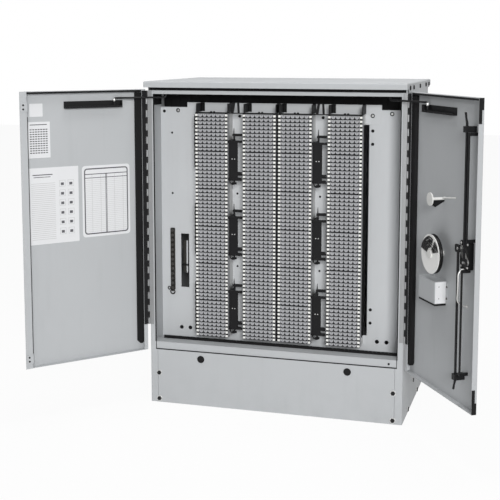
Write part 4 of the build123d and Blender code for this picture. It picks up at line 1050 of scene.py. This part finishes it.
# Each group of loose loops: first and last angle in degrees, first radius, step and count
LOOP_GROUPS = ((92, 168, 22, 4.2, 10), (66, 88, 30, 7.0, 5), (14, 52, 26, 8.5, 5))
winding = Piece("reel_wire", RIGHT_DOOR)
wound_depth = REEL_FRONT - REEL_BACK - 2 * WIRE
helix = []
for step in range(TURNS * TURN_STEPS + 1):
    turn = math.tau * step / TURN_STEPS
    depth = REEL_BACK + WIRE + wound_depth * step / (TURNS * TURN_STEPS)
    helix.append((PEG_ALONG + WOUND * math.cos(turn), depth, REEL_HEIGHT + WOUND * math.sin(turn)))
winding.rod(helix, WIRE, 7)
winding.make("reel", (wire_sleeve,), smooth=True)

loops = Piece("reel_loops", RIGHT_DOOR)
for first, last, start, step, count in LOOP_GROUPS:
    for index in range(count):
        arc = []
        depth = FLANGE_FACE + LOOP + LOOP_LIFT * (index % 2)
        for part in range(LOOP_STEPS + 1):
            turn = math.radians(first + (last - first) * part / LOOP_STEPS)
            wave = LOOP_WAVE * math.sin(LOOP_WAVES * turn + LOOP_PHASE * index)
            radius = start + step * index + wave
            arc.append((PEG_ALONG + radius * math.cos(turn), depth, REEL_HEIGHT + radius * math.sin(turn)))
        loops.rod(arc, LOOP, 8)
loops.make("reel", (wire_sleeve,), smooth=True)

# Door box: a raised face, a pad over its corner, a side flange, a pale end plate that paints the light on the
# box's lit end, a black pad under it that paints the box's shadow, and screws
BOX_START, BOX_END = 158.0, 284.0
BOX_FOOT, BOX_TOP = 529.0, 606.0
BOX_FACE = SKIN + 43.0
FACE_INSET = 4.0
FACE_CORNER = 5.0
FACE_PROUD = 0.8
PAD = (34.0, 12.0)
PAD_CORNER = 3.0
PAD_THICK = 2.0
FLANGE_WIDE = 14.0
FLANGE_THICK = 1.5
END_MARGIN = 2.0
LIT_END_THICK = 0.6
SHADOW_DROP = 7.0
BOX_SCREW_RISE = 18.0
END_SCREW_INWARD = 28.0
PAINT_TONE, LIT_END_TONE, SHADOW_TONE = range(3)
box_face = Piece("door_box_face", RIGHT_DOOR)
face_x = (BOX_START + FACE_INSET, BOX_END - FACE_INSET)
face_z = (BOX_FOOT + FACE_INSET, BOX_TOP - FACE_INSET)
box_face.prism(rounded(face_x, face_z, FACE_CORNER), BOX_FACE, BOX_FACE + FACE_PROUD, PAINT_TONE)
pad_outline = rounded((BOX_START, BOX_START + PAD[0]), (BOX_TOP, BOX_TOP + PAD[1]), PAD_CORNER)
box_face.prism(pad_outline, SKIN, SKIN + PAD_THICK, PAINT_TONE)
end_z = (BOX_FOOT + END_MARGIN, BOX_TOP - END_MARGIN)
box_face.bar((BOX_END, BOX_END + FLANGE_WIDE), (SKIN, SKIN + FLANGE_THICK), end_z, PAINT_TONE)
# Pale end plate: painted light on the box's lit end
box_face.bar((BOX_END, BOX_END + LIT_END_THICK), (SKIN + END_MARGIN, BOX_FACE - 1), end_z, LIT_END_TONE)
# Black pad under the box: painted shadow of the box on the door
box_face.bar((BOX_START + 2, BOX_END - 1), (SKIN, BOX_FACE - 1), (BOX_FOOT - SHADOW_DROP, BOX_FOOT),
             SHADOW_TONE)
box_face.make("right_door", (paint, card, rubber))
box_screws = Piece("door_box_screws", RIGHT_DOOR)
for z in (BOX_FOOT + BOX_SCREW_RISE, BOX_TOP - BOX_SCREW_RISE):
    box_screws.turned(SCREW_HEAD, (BOX_END + FLANGE_WIDE / 2, SKIN + FLANGE_THICK, z), INWARD, 14)
    box_screws.turned(GUIDE_SCREW, (BOX_END, SKIN + END_SCREW_INWARD, z), ALONG, 14)
box_screws.make("right_door", (screw_metal,), smooth=True)

# Rubber strips: one under the hood's front edge that paints the hood's shadow line, ribs behind the sill that
# paint the shade under the columns, a line under the sill and one at each end
HEADER_MARGIN = 3.0
HEADER_STRIP_PROUD = 2.2
HEADER_STRIP_DROP = (26.0, 13.5)
SILL_RIBS = 60
SILL_RIB_START = -466.0
SILL_RIB = 14.4
SILL_RIB_PITCH = 15.6
SILL_RIB_DEEP = 5.0
SILL_RIB_TALL = 11.0
SILL_RIB_STRIP = 2.0
SILL_RIB_STRIP_TALL = 8.0
SILL_LINE_Y = (-290.4, -288.5)
SILL_LINE_Z = (214.6, 218.4)
SILL_END = 2.4
SILL_END_PROUD = 0.6
SILL_SCREW_X = 447.0
SILL_SCREW_Z = 230.0
sill_low, sill_high = box_mm("front_sill")
front_seals_and_shade = Piece("front_seals_and_shade")
# Black strip on the header under the hood's front edge: painted shadow of the hood
front_seals_and_shade.bar((header_low[0] + HEADER_MARGIN, header_high[0] - HEADER_MARGIN),
                (header_low[1] - HEADER_STRIP_PROUD, header_low[1]),
                [header_high[2] - drop for drop in HEADER_STRIP_DROP])
# Black ribs and strip behind the sill: painted shade under the columns
sill_back = sill_high[1]
rib_face = sill_back - SILL_RIB_DEEP
rib_z = (sill_high[2], sill_high[2] + SILL_RIB_TALL)
for step in range(SILL_RIBS):
    x = SILL_RIB_START + SILL_RIB_PITCH * step
    front_seals_and_shade.bar((x, x + SILL_RIB), (rib_face, sill_back), rib_z)
front_seals_and_shade.bar((SILL_RIB_START, -SILL_RIB_START), (rib_face - SILL_RIB_STRIP, rib_face),
                (sill_high[2], sill_high[2] + SILL_RIB_STRIP_TALL))
front_seals_and_shade.bar((-JAMB_EDGE, JAMB_EDGE), SILL_LINE_Y, SILL_LINE_Z)
for side in (-1, 1):
    sill_end = mirrored(side, JAMB_EDGE, JAMB_EDGE - SILL_END)
    front_seals_and_shade.bar(sill_end, (sill_low[1] - SILL_END_PROUD, sill_low[1]), (SILL_LINE_Z[1], sill_high[2]))
front_seals_and_shade.make("cabinet", (rubber,))
sill_screw = Piece("sill_screw")
sill_screw.turned(SCREW_HEAD, (SILL_SCREW_X, sill_low[1], SILL_SCREW_Z), OUT, 16)
sill_screw.make("cabinet", (black_plastic,), smooth=True)

# Hood: dark plugs in the vent holes of its ends
VENT_PLUG = ((5.6, -2.0), (8.4, 0.0), (8.4, 2.2), (6.8, 4.0), (0.2, 4.4))
VENTS = (-266, -174, 0, 174, 266)
VENT_DROP = 18.0
hood_high = box_mm("hood")[1]
hood_plugs = Piece("hood_plugs")
for side in (-1, 1):
    for y in VENTS:
        hood_plugs.turned(VENT_PLUG, (side * hood_high[0], y, hood_high[2] - VENT_DROP), (side, 0, 0), 18)
hood_plugs.make("cabinet", (black_plastic,), smooth=True)

# Floor, backdrop light and lamps
REACH = 14.0
WHITE = (1.0, 1.0, 1.0, 1.0)
FLOOR_TONES = ((0.84, 0.84, 0.84, 1.0), (0.86, 0.86, 0.86, 1.0))
FLOOR_GLOW = 0.94
AMBIENT = 0.22
floor_mesh = bpy.data.meshes.new("floor")
floor_corners = [(-REACH, -REACH, 0), (REACH, -REACH, 0), (REACH, REACH, 0), (-REACH, REACH, 0)]
floor_mesh.from_pydata(floor_corners, [], [(0, 1, 2, 3)])
floor = linked("floor", floor_mesh)
pale_floor = Finish("pale_floor", roughness=0.9)
pale_floor.feed("Base Color", pale_floor.mix(pale_floor.noise(1.5, 3.0), *FLOOR_TONES))
floor_glow = pale_floor.node("ShaderNodeEmission", None, {"Color": WHITE, "Strength": 1.0})
floor_lit = Field(pale_floor, pale_floor.shader.outputs[0])
floor_sockets = {0: pale_floor.seen() * FLOOR_GLOW, 1: floor_lit, 2: floor_glow}
floor_mix = pale_floor.node("ShaderNodeMixShader", None, floor_sockets)
pale_floor.plug(pale_floor.tree.nodes["Material Output"].inputs["Surface"], floor_mix)
floor_mesh.materials.append(pale_floor.material)

world = bpy.data.worlds.new("studio")
bpy.context.scene.world = world
world.use_nodes = True
backdrop = Graph(world.node_tree)
backdrop_shader = world.node_tree.nodes["Background"]
backdrop.plug(backdrop_shader.inputs["Color"], WHITE)
backdrop.plug(backdrop_shader.inputs["Strength"], backdrop.seen() * (1.0 - AMBIENT) + AMBIENT)


def lamp(name, place, aim, size, power):
    """A soft box lamp."""
    light = bpy.data.lights.new(name, "AREA")
    light.shape = "RECTANGLE"
    light.size, light.size_y = size
    light.energy = power
    made = linked(name, light)
    made.location = place
    made.rotation_euler = (Vector(aim) - Vector(place)).to_track_quat("-Z", "Y").to_euler()


lamp("key", place=(4.2, -11.6, 4.0), aim=(0.0, -0.2, 0.7), size=(3.2, 3.2), power=1060)
lamp("top", place=(0.2, -0.4, 4.2), aim=(0.0, -0.1, 0.6), size=(2.4, 2.0), power=74)

camera_data = bpy.data.cameras.new("camera")
camera_data.sensor_width = SENSOR
camera_data.lens = CAMERA_LENS
camera_data.shift_x, camera_data.shift_y = CAMERA_SHIFT
camera = linked("camera", camera_data)
camera.location = Vector(CAMERA_PLACE) * MM
camera.rotation_euler = (math.radians(90 - CAMERA_PITCH), 0, math.radians(CAMERA_YAW))
bpy.context.scene.camera = camera
bpy.context.scene.view_settings.view_transform = "Standard"
